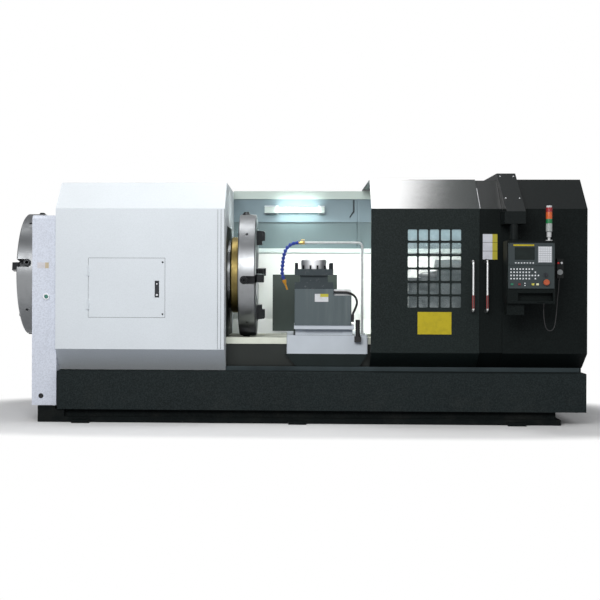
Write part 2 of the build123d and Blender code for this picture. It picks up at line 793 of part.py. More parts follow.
# Fixed hinge halves: a leaf on the cover, a lower knuckle and its pin.
with BuildPart() as service_hinges:
    for hinge_z in hinge_zs:
        high = hinge_z + knuckle_height
        block(hinge_x - 34, hinge_x, front_y - 2.5, front_y, hinge_z, high)
        block(hinge_x - knuckle_r, hinge_x, hinge_y, front_y, hinge_z, high)
        rod_z(hinge_z, high, hinge_x, hinge_y, knuckle_r)
        rod_z(high, high + knuckle_height, hinge_x, hinge_y, hinge_pin_r)
save(service_hinges.part, "service_hinges")

# Paddle latch: a flush black lever pivoted near its top, with a lock button.
with BuildPart() as latch_paddle:
    block(latch_left_x, latch_left_x + latch_width, front_y - 1, front_y - 1 + latch_depth,
          latch_low_z, latch_low_z + latch_height)
    chamfer(latch_paddle.edges().filter_by(Axis.Z).sort_by(Axis.Y)[:2], length=2)
    rod_x(latch_left_x - dish_wall, latch_left_x + latch_width + dish_wall,
          latch_pivot_y, latch_pivot_z, latch_pin_r)
    rod_y(front_y - 3, front_y, latch_left_x + latch_width / 2, latch_low_z + 22, 11)
save(latch_paddle.part, "latch_paddle")

# Saddle: a bridge over the ways, with hooked wings below both way edges, a
# nut lug for the screw and a dovetail across its top for the cross slide.
saddle_right_x = saddle_left_x + saddle_width
wing_reach = -saddle_front_y
hook_y = -(bed_front_y + way_lip) + door_gap
hook_z = bed_top - way_thickness - slide_gap
dovetail_centre_x = cross_slide_left_x + cross_slide_width / 2
dovetail_top_z = saddle_top_z + dovetail_height
dovetail_front_y = saddle_front_y + 8.0
dovetail_rear_y = 405.0
nut_x = saddle_left_x + saddle_width / 2
nut_length = 160.0
with BuildPart() as saddle:
    along_x(saddle_left_x, saddle_right_x, [
        (-wing_reach, saddle_wing_z), (-hook_y, saddle_wing_z),
        (-hook_y, hook_z), (bed_front_y - slide_gap, hook_z),
        (bed_front_y - slide_gap, bed_top + seat_gap),
        (bed_rear_y + slide_gap, bed_top + seat_gap),
        (bed_rear_y + slide_gap, hook_z), (hook_y, hook_z),
        (hook_y, saddle_wing_z), (wing_reach, saddle_wing_z),
        (wing_reach, saddle_top_z), (-wing_reach, saddle_top_z),
    ])
    block(nut_x - nut_length / 2, nut_x + nut_length / 2, screw_y - 70, screw_y + 70,
          ball_screw_z - ball_screw_d / 2 - 22, bed_top + 2)
    rod_x(nut_x - nut_length / 2, nut_x + nut_length / 2, screw_y, ball_screw_z,
          ball_screw_d / 2 + running_gap, Mode.SUBTRACT)
    along_y(dovetail_front_y, dovetail_rear_y, [
        (dovetail_centre_x - dovetail_bottom_width / 2, saddle_top_z),
        (dovetail_centre_x + dovetail_bottom_width / 2, saddle_top_z),
        (dovetail_centre_x + dovetail_top_width / 2, dovetail_top_z),
        (dovetail_centre_x - dovetail_top_width / 2, dovetail_top_z),
    ])
    chamfer(saddle.edges().filter_by(Axis.Z).group_by(Axis.Y)[0], length=8)
save(saddle.part, "saddle")

# Apron: a black plate below the saddle's front wing, narrower at its foot.
apron_taper = 105.0
apron_depth = 38.0
with BuildPart() as apron:
    along_y(saddle_front_y - 2, saddle_front_y - 2 + apron_depth, [
        (saddle_left_x - 20, saddle_wing_z),
        (saddle_left_x - 20 + apron_taper, apron_bottom_z),
        (saddle_right_x + 3 - apron_taper * 0.75, apron_bottom_z),
        (saddle_right_x + 3, saddle_wing_z),
    ])
save(apron.part, "apron")

# Carriage screw: a long screw in two lugs of the bed, through the saddle's nut.
screw_left_x = open_left_x + 20.0
screw_right_x = bed_right_x - 20.0
shaft_gap = 1.0
with BuildPart() as ball_screw:
    with BuildSketch(Plane.XZ.offset(-screw_y)):
        with BuildLine():
            Polyline(
                (screw_left_x + 5, ball_screw_z),
                (screw_left_x + 5, ball_screw_z + screw_journal_d / 2),
                (screw_left_x + lug_length + shaft_gap, ball_screw_z + screw_journal_d / 2),
                (screw_left_x + lug_length + shaft_gap, ball_screw_z + ball_screw_d / 2),
                (screw_right_x - lug_length - shaft_gap, ball_screw_z + ball_screw_d / 2),
                (screw_right_x - lug_length - shaft_gap, ball_screw_z + screw_journal_d / 2),
                (screw_right_x - 5, ball_screw_z + screw_journal_d / 2),
                (screw_right_x - 5, ball_screw_z),
                close=True,
            )
        make_face()
    revolve(axis=Axis((0, screw_y, ball_screw_z), (1, 0, 0)))
save(ball_screw.part, "ball_screw")

# Cross slide: a plate with two undercut jaws that grip the dovetail.
slide_bottom_z = dovetail_top_z + slide_gap
slide_top_z = slide_bottom_z + cross_slide_thickness
slide_front_y = post_front_y + 12.0
slide_rear_y = 60.0
jaw_setback = 60.0
with BuildPart() as cross_slide:
    block(cross_slide_left_x, cross_slide_left_x + cross_slide_width,
          slide_front_y, slide_rear_y, slide_bottom_z, slide_top_z)
    for side in (-1, 1):
        edge_x = dovetail_centre_x + side * cross_slide_width / 2
        foot_x = dovetail_centre_x + side * (dovetail_bottom_width / 2 + 2 * slide_gap)
        head_x = dovetail_centre_x + side * (dovetail_top_width / 2 + 2 * slide_gap)
        along_y(slide_front_y + jaw_setback, slide_rear_y, [
            (edge_x - side * 12, saddle_top_z + slide_gap),
            (foot_x, saddle_top_z + slide_gap),
            (head_x, slide_bottom_z),
            (edge_x - side * 12, slide_bottom_z),
        ])
save(cross_slide.part, "cross_slide")

# Tool post base: a dark block with a lower shoulder on the right.
with BuildPart() as post_base:
    along_y(post_front_y, post_front_y + post_depth, [
        (post_left_x, slide_top_z),
        (post_left_x + post_width, slide_top_z),
        (post_left_x + post_width, post_shoulder_z),
        (post_shoulder_x, post_shoulder_z),
        (post_shoulder_x, post_base_top_z),
        (post_left_x, post_base_top_z),
    ])
    chamfer(post_base.edges().filter_by(Axis.Z).group_by(Axis.Y)[0], length=6)
save(post_base.part, "post_base")

# Tool head: a square turret with an open slot on all four sides for the tool
# shanks, turning on the post base.
head_bottom_z = post_base_top_z + seat_gap
head_slot_z = head_bottom_z + head_lower_height
head_upper_z = head_slot_z + head_slot_height
head_top_z = head_upper_z + head_upper_height
with BuildPart() as tool_head:
    for low, size, height in (
        (head_bottom_z, head_size, head_lower_height),
        (head_slot_z, head_core_size, head_slot_height),
        (head_upper_z, head_size, head_upper_height),
    ):
        with BuildSketch(Plane.XY.offset(low)):
            with Locations((head_centre_x, head_centre_y)):
                Rectangle(size, size)
        extrude(amount=height)
    chamfer(tool_head.edges().filter_by(Axis.Z).group_by(SortBy.LENGTH)[0], length=5)
save(tool_head.part, "tool_head")

# Motor cap: a silver turned cap on the tool head.
with BuildPart() as motor_cap:
    with BuildSketch(Plane.XY.offset(head_top_z)):
        with Locations((head_centre_x, head_centre_y)):
            Circle(cap_d / 2)
    extrude(amount=cap_height)
    chamfer(motor_cap.edges().filter_by(GeomType.CIRCLE).sort_by(Axis.Z)[-1], length=8)
save(motor_cap.part, "motor_cap")

# Clamp bolts: square-set screws round the head, larger ones at the corners.
bolts_per_side = 6
bolt_row_inset = 16.0
bolt_r = 9.0
corner_bolt_r = 15.0
bolt_height = 34.0
bolt_pitch = (head_size - 2 * bolt_row_inset) / (bolts_per_side - 1)
with BuildPart() as clamp_bolts:
    for column in range(bolts_per_side):
        for row in range(bolts_per_side):
            edge_columns = column in (0, bolts_per_side - 1)
            edge_rows = row in (0, bolts_per_side - 1)
            if not (edge_columns or edge_rows):
                continue
            corner = edge_columns and edge_rows
            with BuildSketch(Plane.XY.offset(head_top_z)):
                with Locations((
                    head_centre_x + bolt_pitch * (column - (bolts_per_side - 1) / 2),
                    head_centre_y + bolt_pitch * (row - (bolts_per_side - 1) / 2),
                )):
                    RegularPolygon(corner_bolt_r if corner else bolt_r, 6)
            extrude(amount=bolt_height + (22 if corner else 0))
save(clamp_bolts.part, "clamp_bolts")

# Junction box: a white box on the shoulder of the tool post base.
with BuildPart() as junction_box:
    block(post_shoulder_x + 2, post_left_x + post_width, post_front_y + 40,
          post_front_y + 160, post_shoulder_z, post_shoulder_z + 54)
    chamfer(junction_box.edges().filter_by(Axis.Y).group_by(Axis.Z)[-1], length=5)
save(junction_box.part, "junction_box")


def routed_tube(points, diameter, name):
    """Straight runs joined by arcs, each as large as its two runs allow."""
    radii = []
    for before, here, after in zip(points, points[1:], points[2:]):
        first = Vector(*here) - Vector(*before)
        second = Vector(*after) - Vector(*here)
        turn = first.get_angle(second)
        shorter = min(first.length, second.length)
        radii.append(0.45 * shorter / tan(radians(turn) / 2))
    print(name, "arc radii", [round(radius) for radius in radii])
    first_run = Vector(*points[1]) - Vector(*points[0])
    with BuildLine() as route:
        FilletPolyline(*points, radius=radii)
    with BuildSketch(Plane(points[0], z_dir=first_run)) as section:
        Circle(diameter / 2)
    sweep(section.sketch, path=route.line)
    length = sum(edge.length for edge in route.edges())
    print(name, "length", round(length), "section times length",
          round(length * pi * diameter ** 2 / 4))


# Cable of the tool post: out of the base's side, in front of the box and down
# to its connector on the right side of the base.
turret_cable_d = 20.0
connector_r = 12.0
connector_x = post_left_x + post_width + connector_r + seat_gap
connector_low_z = 915.0
connector_height = 71.0
cable_y = post_front_y + 20.0
turret_cable_route = [
    (post_shoulder_x + seat_gap, cable_y, 1186.0),
    (post_shoulder_x + 67.0, cable_y, 1186.0),
    (connector_x - 36.3, cable_y - 2, 1184.0),
    (connector_x + 20.7, cable_y - 2, 1152.0),
    (connector_x + 42.7, cable_y - 1, 1094.0),
    (connector_x + 24.7, cable_y, 1038.0),
    (connector_x, cable_y, connector_low_z + connector_height),
]
with BuildPart() as turret_cable:
    routed_tube(turret_cable_route, turret_cable_d, "turret_cable")
    rod_z(connector_low_z, connector_low_z + connector_height,
          connector_x, cable_y, connector_r)
save(turret_cable.part, "turret_cable")

# Corrugated conduit on the saddle's front, standing in a black foot.
conduit_x = saddle_left_x + 649.0
conduit_y = saddle_front_y - 25.0
conduit_r = 20.0
conduit_ring_r = 22.0
conduit_foot_z = 731.0
conduit_low_z = 781.0
conduit_rings = 9
conduit_pitch = 17.0
with BuildPart() as cable_conduit:
    block(conduit_x - 30, conduit_x + 30, conduit_y - 25, saddle_front_y,
          conduit_foot_z, conduit_low_z)
    rod_z(conduit_low_z, conduit_low_z + conduit_rings * conduit_pitch,
          conduit_x, conduit_y, conduit_r)
    for ring in range(conduit_rings):
        rod_z(conduit_low_z + ring * conduit_pitch, conduit_low_z + (ring + 0.5) * conduit_pitch,
              conduit_x, conduit_y, conduit_ring_r)
save(cable_conduit.part, "cable_conduit")

# Splash guard: a dark folded sheet on the rear of the saddle.
splash_left_x = saddle_left_x - 149.0
splash_width = 640.0
splash_y = 420.0
splash_top_z = 1352.0
splash_wall = 4.0
with BuildPart() as splash_guard:
    block(splash_left_x, splash_left_x + splash_width, splash_y, splash_y + splash_wall,
          saddle_top_z, splash_top_z)
    block(splash_left_x, splash_left_x + splash_width, splash_y, splash_y + 40,
          splash_top_z - splash_wall, splash_top_z)
    for edge_x in (splash_left_x, splash_left_x + splash_width - splash_wall):
        block(edge_x, edge_x + splash_wall, splash_y, splash_y + 40,
              saddle_top_z, splash_top_z)
    block(saddle_left_x, splash_left_x + splash_width, splash_y, splash_y + 60,
          saddle_top_z, saddle_top_z + 8)
save(splash_guard.part, "splash_guard")

# Coolant riser: one bent pipe from a flange on the saddle to the valve.
coolant_y = -280.0
riser_x = saddle_left_x + 702.0
pipe_z = 1647.0
pipe_r = 11.5
pipe_bend = 40.0
valve_x = riser_x - 538.0
hose_start_x = valve_x - 66.0
hose_start_z = pipe_z - 1.0
with BuildPart() as coolant_riser:
    with BuildLine() as bent_pipe:
        FilletPolyline(
            (riser_x, coolant_y, saddle_top_z), (riser_x, coolant_y, pipe_z),
            (valve_x, coolant_y, pipe_z), radius=pipe_bend,
        )
    with BuildSketch(Plane.XY.offset(saddle_top_z)):
        with Locations((riser_x, coolant_y)):
            Circle(pipe_r)
    sweep(path=bent_pipe.line)
    rod_z(saddle_top_z, saddle_top_z + 14, riser_x, coolant_y, 28)
save(coolant_riser.part, "coolant_riser")

# Jointed hose: ball-and-socket links on a curve, each socket gripping the ball
# before it, from the brass valve down to the nozzle.
link_count = 12
ball_r = 15.5
socket_gap = 0.3
socket_wall = 3.0
socket_mouth = 7.0
hose_bore_r = 8.0
neck_r = 9.0
hose_curve = Spline(
    (hose_start_x, coolant_y, hose_start_z), (hose_start_x - 106, coolant_y, 1588),
    (hose_start_x - 139, coolant_y, 1457), (hose_start_x - 145, coolant_y, 1378),
    (hose_start_x - 126, coolant_y, 1292),
)
ball_centres = [hose_curve @ (n / link_count) for n in range(link_count + 1)]


def at_radius(sphere_r, r):
    """Distance from a sphere's centre to where it is r wide."""
    return (sphere_r ** 2 - r ** 2) ** 0.5


with BuildPart() as hose_links:
    for centre, next_centre in zip(ball_centres, ball_centres[1:]):
        reach = next_centre - centre
        pitch = reach.length
        with BuildSketch(Plane(centre, x_dir=reach, z_dir=(0, 1, 0))):
            with BuildLine():
                socket_start = ball_r + socket_gap
                outer_start = socket_start + socket_wall
                ThreePointArc(
                    (at_radius(socket_start, hose_bore_r), hose_bore_r), (0, socket_start),
                    (-socket_mouth, at_radius(socket_start, socket_mouth)),
                )
                Line((-socket_mouth, at_radius(socket_start, socket_mouth)),
                     (-socket_mouth, at_radius(outer_start, socket_mouth)))
                ThreePointArc(
                    (-socket_mouth, at_radius(outer_start, socket_mouth)), (0, outer_start),
                    (socket_mouth, at_radius(outer_start, socket_mouth)),
                )
                Line((socket_mouth, at_radius(outer_start, socket_mouth)),
                     (pitch - at_radius(ball_r, neck_r), neck_r))
                ThreePointArc(
                    (pitch - at_radius(ball_r, neck_r), neck_r), (pitch, ball_r),
                    (pitch + socket_mouth, at_radius(ball_r, socket_mouth)),
                )
                Line((pitch + socket_mouth, at_radius(ball_r, socket_mouth)),
                     (pitch + socket_mouth, hose_bore_r))
                Line((pitch + socket_mouth, hose_bore_r),
                     (at_radius(socket_start, hose_bore_r), hose_bore_r))
            make_face()
        revolve(axis=Axis(centre, reach))
save(hose_links.part, "hose_links")

# Brass valve: hexagon, turned body, a lever on top and the first ball.
valve_body_r = 17.0
valve_end_x = valve_x - 42.0
with BuildPart() as coolant_valve:
    with BuildSketch(Plane.YZ.offset(valve_x)):
        with Locations((coolant_y, pipe_z)):
            RegularPolygon(20, 6)
    extrude(amount=-18)
    rod_x(valve_end_x, valve_x - 18, coolant_y, pipe_z, valve_body_r)
    rod_x(hose_start_x, valve_end_x, coolant_y, hose_start_z, neck_r)
    with Locations((hose_start_x, coolant_y, hose_start_z)):
        Sphere(ball_r)
    rod_z(pipe_z, pipe_z + 30, valve_x - 28, coolant_y, 5)
    block(valve_x - 34, valve_x, coolant_y - 6, coolant_y + 6, pipe_z + 26, pipe_z + 31)
    # waterway from the pipe to the hose
    rod_x(hose_start_x - 18, valve_end_x, coolant_y, hose_start_z, hose_bore_r - 1,
          Mode.SUBTRACT)
save(coolant_valve.part, "coolant_valve")

# Nozzle: a socket on the last ball and a round spout.
nozzle_length = 92.0
spout_r = 7.0
spout_direction = (ball_centres[-1] - ball_centres[-2]).normalized()
with BuildPart() as coolant_nozzle:
    with BuildSketch(Plane(ball_centres[-1], x_dir=spout_direction, z_dir=(0, 1, 0))):
        with BuildLine():
            socket_start = ball_r + socket_gap
            outer_start = socket_start + socket_wall
            ThreePointArc(
                (at_radius(socket_start, 4), 4), (0, socket_start),
                (-socket_mouth, at_radius(socket_start, socket_mouth)),
            )
            Polyline(
                (-socket_mouth, at_radius(socket_start, socket_mouth)),
                (-socket_mouth, outer_start),
                (12, outer_start),
                (40, spout_r + 2),
                (nozzle_length, spout_r),
                (nozzle_length, 4),
                (at_radius(socket_start, 4), 4),
            )
        make_face()
    revolve(axis=Axis(ball_centres[-1], spout_direction))
save(coolant_nozzle.part, "coolant_nozzle")

# Tailstock: a body on the ways, with an open cradle in front of its barrel.
tailstock_left_x = open_right_x + 388.0
barrel_left_x = tailstock_left_x + 273.0
tailstock_right_x = right_cover_x + 31.0
tailstock_foot_z = bed_top + seat_gap
barrel_r = 150.0
quill_r = 75.0
cradle_half = 150.0
cheek_low_z = spindle_height - 145.0
cheek_top_z = spindle_height - 22.0
cradle_z = spindle_height - 105.0
with BuildPart() as tailstock_body:
    # foot plate over both ways
    block(tailstock_left_x, tailstock_right_x, bed_front_y, bed_rear_y,
          tailstock_foot_z, tailstock_foot_z + 90)
    # column that narrows upwards to the barrel
    along_x(barrel_left_x, tailstock_right_x, [
        (-330, tailstock_foot_z + 90), (330, tailstock_foot_z + 90),
        (barrel_r, spindle_height), (-barrel_r, spindle_height),
    ])
    rod_x(barrel_left_x, tailstock_right_x, 0, spindle_height, barrel_r)
    # cradle: two cheeks below the quill
    along_x(tailstock_left_x, barrel_left_x, [
        (-300, tailstock_foot_z + 90), (300, tailstock_foot_z + 90),
        (cradle_half, cheek_low_z), (cradle_half, cheek_top_z), (quill_r + 25, cheek_top_z),
        (quill_r + 25, cradle_z), (-quill_r - 25, cradle_z), (-quill_r - 25, cheek_top_z),
        (-cradle_half, cheek_top_z), (-cradle_half, cheek_low_z),
    ])
    rod_x(barrel_left_x - 1, tailstock_right_x + 1, 0, spindle_height,
          quill_r + running_gap, Mode.SUBTRACT)
save(tailstock_body.part, "tailstock_body")

# Quill: a round bar with a pointed centre.
quill_right_x = tailstock_right_x - 50.0
quill_left_x = barrel_left_x - 68.0
with BuildPart() as tailstock_quill:
    with BuildSketch(Plane.XZ):
        with BuildLine():
            Polyline(
                (quill_left_x - 110, spindle_height),
                (quill_left_x - 60, spindle_height + 30),
                (quill_left_x, spindle_height + 36),
                (quill_left_x, spindle_height + quill_r - 8),
                (quill_left_x + 8, spindle_height + quill_r),
                (quill_right_x, spindle_height + quill_r),
                (quill_right_x, spindle_height),
                close=True,
            )
        make_face()
    revolve(axis=Axis((0, 0, spindle_height), (1, 0, 0)))
save(tailstock_quill.part, "tailstock_quill")

# Cable duct: a sheet channel over the roof that runs down past the brow into
# an end box, with the neck that carries the operator panel.
duct_left_x = right_cover_x - 7.0
duct_width = 168.0
duct_height = 56.0
duct_flare = 16.0
duct_wall = 4.0
duct_end_y = -990.0
duct_low_z = 1794.0
duct_top_z = roof_z + duct_height
duct_end_top_z = 1899.0
neck_x = right_cover_x + 63.0
neck_y = -950.0
neck_r_out = 35.0
spigot_r = 28.0
spigot_length = 40.0
collar_height = 18.0
panel_top_z = panel_bottom_z + panel_height
with BuildPart() as cable_duct:
    along_x(duct_left_x, duct_left_x + duct_width, [
        (rear_y, roof_z + seat_gap), (rear_y, duct_top_z),
        (front_y + slope_depth, duct_top_z), (duct_end_y, duct_end_top_z),
        (duct_end_y, duct_low_z), (front_y - seat_gap, duct_low_z),
        (front_y - seat_gap, slope_start_z), (front_y + slope_depth, roof_z + seat_gap),
    ])
    along_x(duct_left_x - duct_flare, duct_left_x + duct_width, [
        (duct_end_y, duct_low_z), (front_y - seat_gap, duct_low_z),
        (front_y - seat_gap, duct_end_top_z + 20), (duct_end_y, duct_end_top_z),
    ])
    # hollow channel, open towards the roof
    along_x(duct_left_x + duct_wall, duct_left_x + duct_width - duct_wall, [
        (rear_y - duct_wall, roof_z), (rear_y - duct_wall, duct_top_z - duct_wall),
        (front_y + slope_depth + 2, duct_top_z - duct_wall),
        (duct_end_y + duct_wall, duct_end_top_z - 3),
        (duct_end_y + duct_wall, duct_low_z + duct_wall),
        (front_y - duct_wall, duct_low_z + duct_wall),
        (front_y - duct_wall, slope_start_z + 8),
        (front_y + slope_depth - 8, roof_z),
    ], Mode.SUBTRACT)
    rod_z(panel_top_z + collar_height + seat_gap, duct_low_z, neck_x, neck_y, neck_r_out)
    rod_z(panel_top_z + collar_height - spigot_length, duct_low_z, neck_x, neck_y, spigot_r)
save(cable_duct.part, "cable_duct")

# Operator panel housing: a box with a shelf slot, a small terminal box below
# its left side, the collar of its swivel and the holder for the pendant.
panel_right_x = panel_left_x + panel_width
panel_rear_y = panel_front_y + panel_depth
pendant_left_x = panel_right_x + 23.0
pendant_y = panel_front_y + 70.0
shelf_z = panel_bottom_z + 23.0
shelf_slot_height = 68.0
terminal_box_height = 99.0
bracket_z = panel_bottom_z + 297.0
bracket_height = 45.0
with BuildPart() as panel_housing:
    block(panel_left_x, panel_right_x, panel_front_y, panel_rear_y, panel_bottom_z, panel_top_z)
    chamfer(panel_housing.edges().filter_by(Axis.Z).group_by(Axis.Y)[0], length=6)
    rod_z(panel_top_z, panel_top_z + collar_height, neck_x, neck_y, 52)
    rod_z(panel_top_z + collar_height - spigot_length - 4, panel_top_z + collar_height + 1,
          neck_x, neck_y, spigot_r + running_gap, Mode.SUBTRACT)
    # shelf slot with a small lip, terminal box and pendant bracket
    block(panel_left_x + 92, panel_right_x - 20, panel_front_y - 1, panel_front_y + 60,
          shelf_z, shelf_z + shelf_slot_height, Mode.SUBTRACT)
    block(panel_left_x + 254, panel_left_x + 314, panel_front_y - 8, panel_front_y,
          shelf_z - 11, shelf_z)
    block(panel_left_x + 4, panel_left_x + 152, panel_front_y + 40, panel_rear_y - 20,
          panel_bottom_z - terminal_box_height, panel_bottom_z)
    block(panel_right_x, pendant_left_x - seat_gap, pendant_y + 10, pendant_y + 60,
          bracket_z, bracket_z + bracket_height)
save(panel_housing.part, "panel_housing")

# Control unit: a raised face with its screen, keypad, soft keys, a lower field
# of small keys and openings for the knobs and push buttons.
face_left_x = panel_left_x + 6.0
face_width = 394.0
face_low_z = panel_bottom_z + 130.0
face_split_z = face_low_z + 200.0
face_top_z = face_low_z + 392.0
field_y = panel_front_y - 12.0
unit_y = field_y - 8.0
knob_place = (face_left_x + 320.0, face_low_z + 117.0)
stop_place = (face_left_x + 324.0, face_low_z + 53.0)
start_key_place = (face_left_x + 31.0, face_low_z + 36.0)
stop_key_place = (face_left_x + 95.0, face_low_z + 36.0)
key_width = 22.0
key_height = 17.0
stem_r = 10.0
knob_stem_r = 6.0
small_key = 12.0
key_pitch_x = 26.0
key_pitch_z = 27.5
key_column_x = face_left_x + 23.0
key_row_z = face_low_z + 126.0
with BuildPart() as cnc_unit:
    block(face_left_x, face_left_x + face_width, field_y, panel_front_y, face_low_z, face_top_z)
    block(face_left_x, face_left_x + face_width, unit_y, field_y, face_split_z, face_top_z)
    block(face_left_x + 53, face_left_x + 223, unit_y - 1, unit_y + 5,
          face_split_z + 47, face_split_z + 155, Mode.SUBTRACT)
    face_plane = Plane((0, unit_y, 0), x_dir=(1, 0, 0), z_dir=(0, -1, 0))
    field_plane = Plane((0, field_y, 0), x_dir=(1, 0, 0), z_dir=(0, -1, 0))
    # keypad of the unit and its soft keys
    with BuildSketch(face_plane):
        with Locations((face_left_x + 312, face_split_z + 92)):
            with GridLocations(18.5, 19, 6, 7):
                Rectangle(14, 13)
        with Locations((face_left_x + 136, face_split_z + 20)):
            with GridLocations(25, 10, 7, 1):
                Rectangle(13, 9)
    extrude(amount=3)
    # field of small keys, with a few more to its right
    with BuildSketch(field_plane):
        with Locations((key_column_x + 3 * key_pitch_x, key_row_z)):
            with GridLocations(key_pitch_x, key_pitch_z, 7, 4):
                Rectangle(small_key, small_key)
        for column, row in ((7, 1.5), (7, -0.5), (8, 0.5), (8, -0.5), (8, -1.5), (9, -0.5)):
            with Locations((key_column_x + column * key_pitch_x,
                            key_row_z + row * key_pitch_z)):
                Rectangle(small_key, small_key)
    extrude(amount=3)
    # pilot lamps
    with BuildSketch(field_plane):
        with Locations((face_left_x + 211, face_low_z + 36), (face_left_x + 250, face_low_z + 36)):
            Rectangle(key_width, key_height)
        with Locations((face_left_x + 142, face_low_z + 44), (face_left_x + 142, face_low_z + 26)):
            Circle(5)
    extrude(amount=4)
    for centre_x, centre_z in (start_key_place, stop_key_place):
        block(centre_x - key_width / 2 - slide_gap, centre_x + key_width / 2 + slide_gap,
              field_y - 1, panel_front_y + 1,
              centre_z - key_height / 2 - slide_gap, centre_z + key_height / 2 + slide_gap,
              Mode.SUBTRACT)
    rod_y(field_y - 1, panel_front_y + 1, stop_place[0], stop_place[1],
          stem_r + running_gap, Mode.SUBTRACT)
    rod_y(field_y - 1, panel_front_y + 1, knob_place[0], knob_place[1],
          knob_stem_r + running_gap, Mode.SUBTRACT)
save(cnc_unit.part, "cnc_unit")

# Emergency stop: a mushroom head on a stem that is pressed into the face.
mushroom_r = 26.0
with BuildPart() as emergency_stop:
    rod_y(field_y - 12, panel_front_y - 7, stop_place[0], stop_place[1], stem_r)
    rod_y(field_y - 30, field_y - 10, stop_place[0], stop_place[1], mushroom_r)
    chamfer(emergency_stop.edges().filter_by(GeomType.CIRCLE).sort_by(Axis.Y)[0], length=6)
save(emergency_stop.part, "emergency_stop")

# Mode knob: a skirted knob with a pointer bar across its top.
with BuildPart() as mode_knob:
    rod_y(field_y - seat_gap, panel_front_y - 2, knob_place[0], knob_place[1], knob_stem_r)
    rod_y(field_y - 10, field_y - seat_gap, knob_place[0], knob_place[1], 19)
    block(knob_place[0] - 5, knob_place[0] + 5, field_y - 20, field_y - 10,
          knob_place[1] - 16, knob_place[1] + 16)
save(mode_knob.part, "mode_knob")


def push_key(place, name):
    """A square push button in its opening."""
    with BuildPart() as key:
        block(place[0] - key_width / 2, place[0] + key_width / 2, field_y - 7, panel_front_y - 4,
              place[1] - key_height / 2, place[1] + key_height / 2)
    save(key.part, name)


push_key(start_key_place, "start_button")
push_key(stop_key_place, "stop_button")

# Signal tower: foot, stem, ring joint and three coloured lamps under a cap.
tower_x = panel_right_x - 33.0
tower_y = panel_front_y + 110.0
lamp_r = 27.0
lamp_edge_r = 24.5
tower_steps = (
    (0, 9, 30), (9, 34, 11), (34, 78, 20), (78, 83, 12), (83, 152, lamp_r),
    (152, 154, lamp_edge_r), (154, 191, lamp_r), (191, 193, lamp_edge_r),
    (193, 252, lamp_r), (252, 254, lamp_edge_r), (254, 292, lamp_r), (292, 309, 24),
)
with BuildPart() as tower_light:
    for low, high, step_r in tower_steps:
        rod_z(panel_top_z + low, panel_top_z + high, tower_x, tower_y, step_r)
save(tower_light.part, "tower_light")

# Pendant: a hand-held box with a hand wheel and two small knobs on its face.
pendant_low_z = panel_bottom_z + 222.0
pendant_height = 165.0
pendant_width = 61.0
pendant_depth = 80.0
pendant_centre_x = pendant_left_x + pendant_width / 2
with BuildPart() as pendant:
    block(pendant_left_x, pendant_left_x + pendant_width, pendant_y,
          pendant_y + pendant_depth, pendant_low_z, pendant_low_z + pendant_height)
    chamfer(pendant.edges().filter_by(Axis.Z), length=6)
    rod_y(pendant_y - 8, pendant_y, pendant_centre_x, pendant_low_z + 50, 24)
    for knob_x in (pendant_centre_x - 14, pendant_centre_x + 14):
        rod_y(pendant_y - 7, pendant_y, knob_x, pendant_low_z + 130, 9)
save(pendant.part, "pendant")

# Pendant cord: a slack loop from the housing's underside to the pendant.
cord_d = 9.0
cord_y = pendant_y + 40.0
cord_route = [
    (panel_right_x - 79.0, cord_y, panel_bottom_z),
    (panel_right_x - 79.0, cord_y, 1020.0),
    (panel_right_x - 72.0, cord_y, 945.0),
    (panel_right_x - 61.0, cord_y, 890.0),
    (panel_right_x - 39.0, cord_y, 860.0),
    (panel_right_x - 6.0, cord_y, 860.0),
    (panel_right_x + 15.0, cord_y, 891.0),
    (panel_right_x + 26.0, cord_y, 950.0),
    (panel_right_x + 35.0, cord_y, 1050.0),
    (panel_right_x + 41.0, cord_y, 1150.0),
    (pendant_centre_x, cord_y, 1245.0),
    (pendant_centre_x, cord_y, pendant_low_z),
]
with BuildPart() as pendant_cord:
    routed_tube(cord_route, cord_d, "pendant_cord")
save(pendant_cord.part, "pendant_cord")
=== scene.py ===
# %% [markdown]
# # Pipe threading lathe
# A large enclosed lathe that cuts threads on pipe ends. Its castings, covers, doors and chucks
# come ready made from the CAD frame. This script gives each of them its finish and adds the thin
# things a drawing leaves out: plates, screws, seals, lens, collars and the pendant's cord.

# %% Load the frame
from math import cos, pi, radians, sin

import bmesh
import bpy
from mathutils import Matrix, Vector


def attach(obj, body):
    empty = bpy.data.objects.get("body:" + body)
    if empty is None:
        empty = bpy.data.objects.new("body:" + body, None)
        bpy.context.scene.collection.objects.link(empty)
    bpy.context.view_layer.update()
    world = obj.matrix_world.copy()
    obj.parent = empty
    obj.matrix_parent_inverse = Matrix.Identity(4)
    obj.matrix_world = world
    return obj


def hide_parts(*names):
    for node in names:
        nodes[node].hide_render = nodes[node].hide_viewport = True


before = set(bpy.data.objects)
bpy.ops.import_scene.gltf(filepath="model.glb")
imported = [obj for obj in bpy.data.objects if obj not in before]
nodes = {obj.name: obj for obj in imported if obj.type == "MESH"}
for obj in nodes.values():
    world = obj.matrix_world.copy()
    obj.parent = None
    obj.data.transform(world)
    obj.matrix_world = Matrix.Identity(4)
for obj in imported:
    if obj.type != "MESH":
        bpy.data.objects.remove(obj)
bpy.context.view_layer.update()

scene = bpy.context.scene

# %% [markdown]
# ## Camera
# A machine this long is photographed from far away with a long lens, so that its edges stay
# parallel. The lens is shifted a little instead of the camera being tilted: a tilt would make
# the upright edges lean.

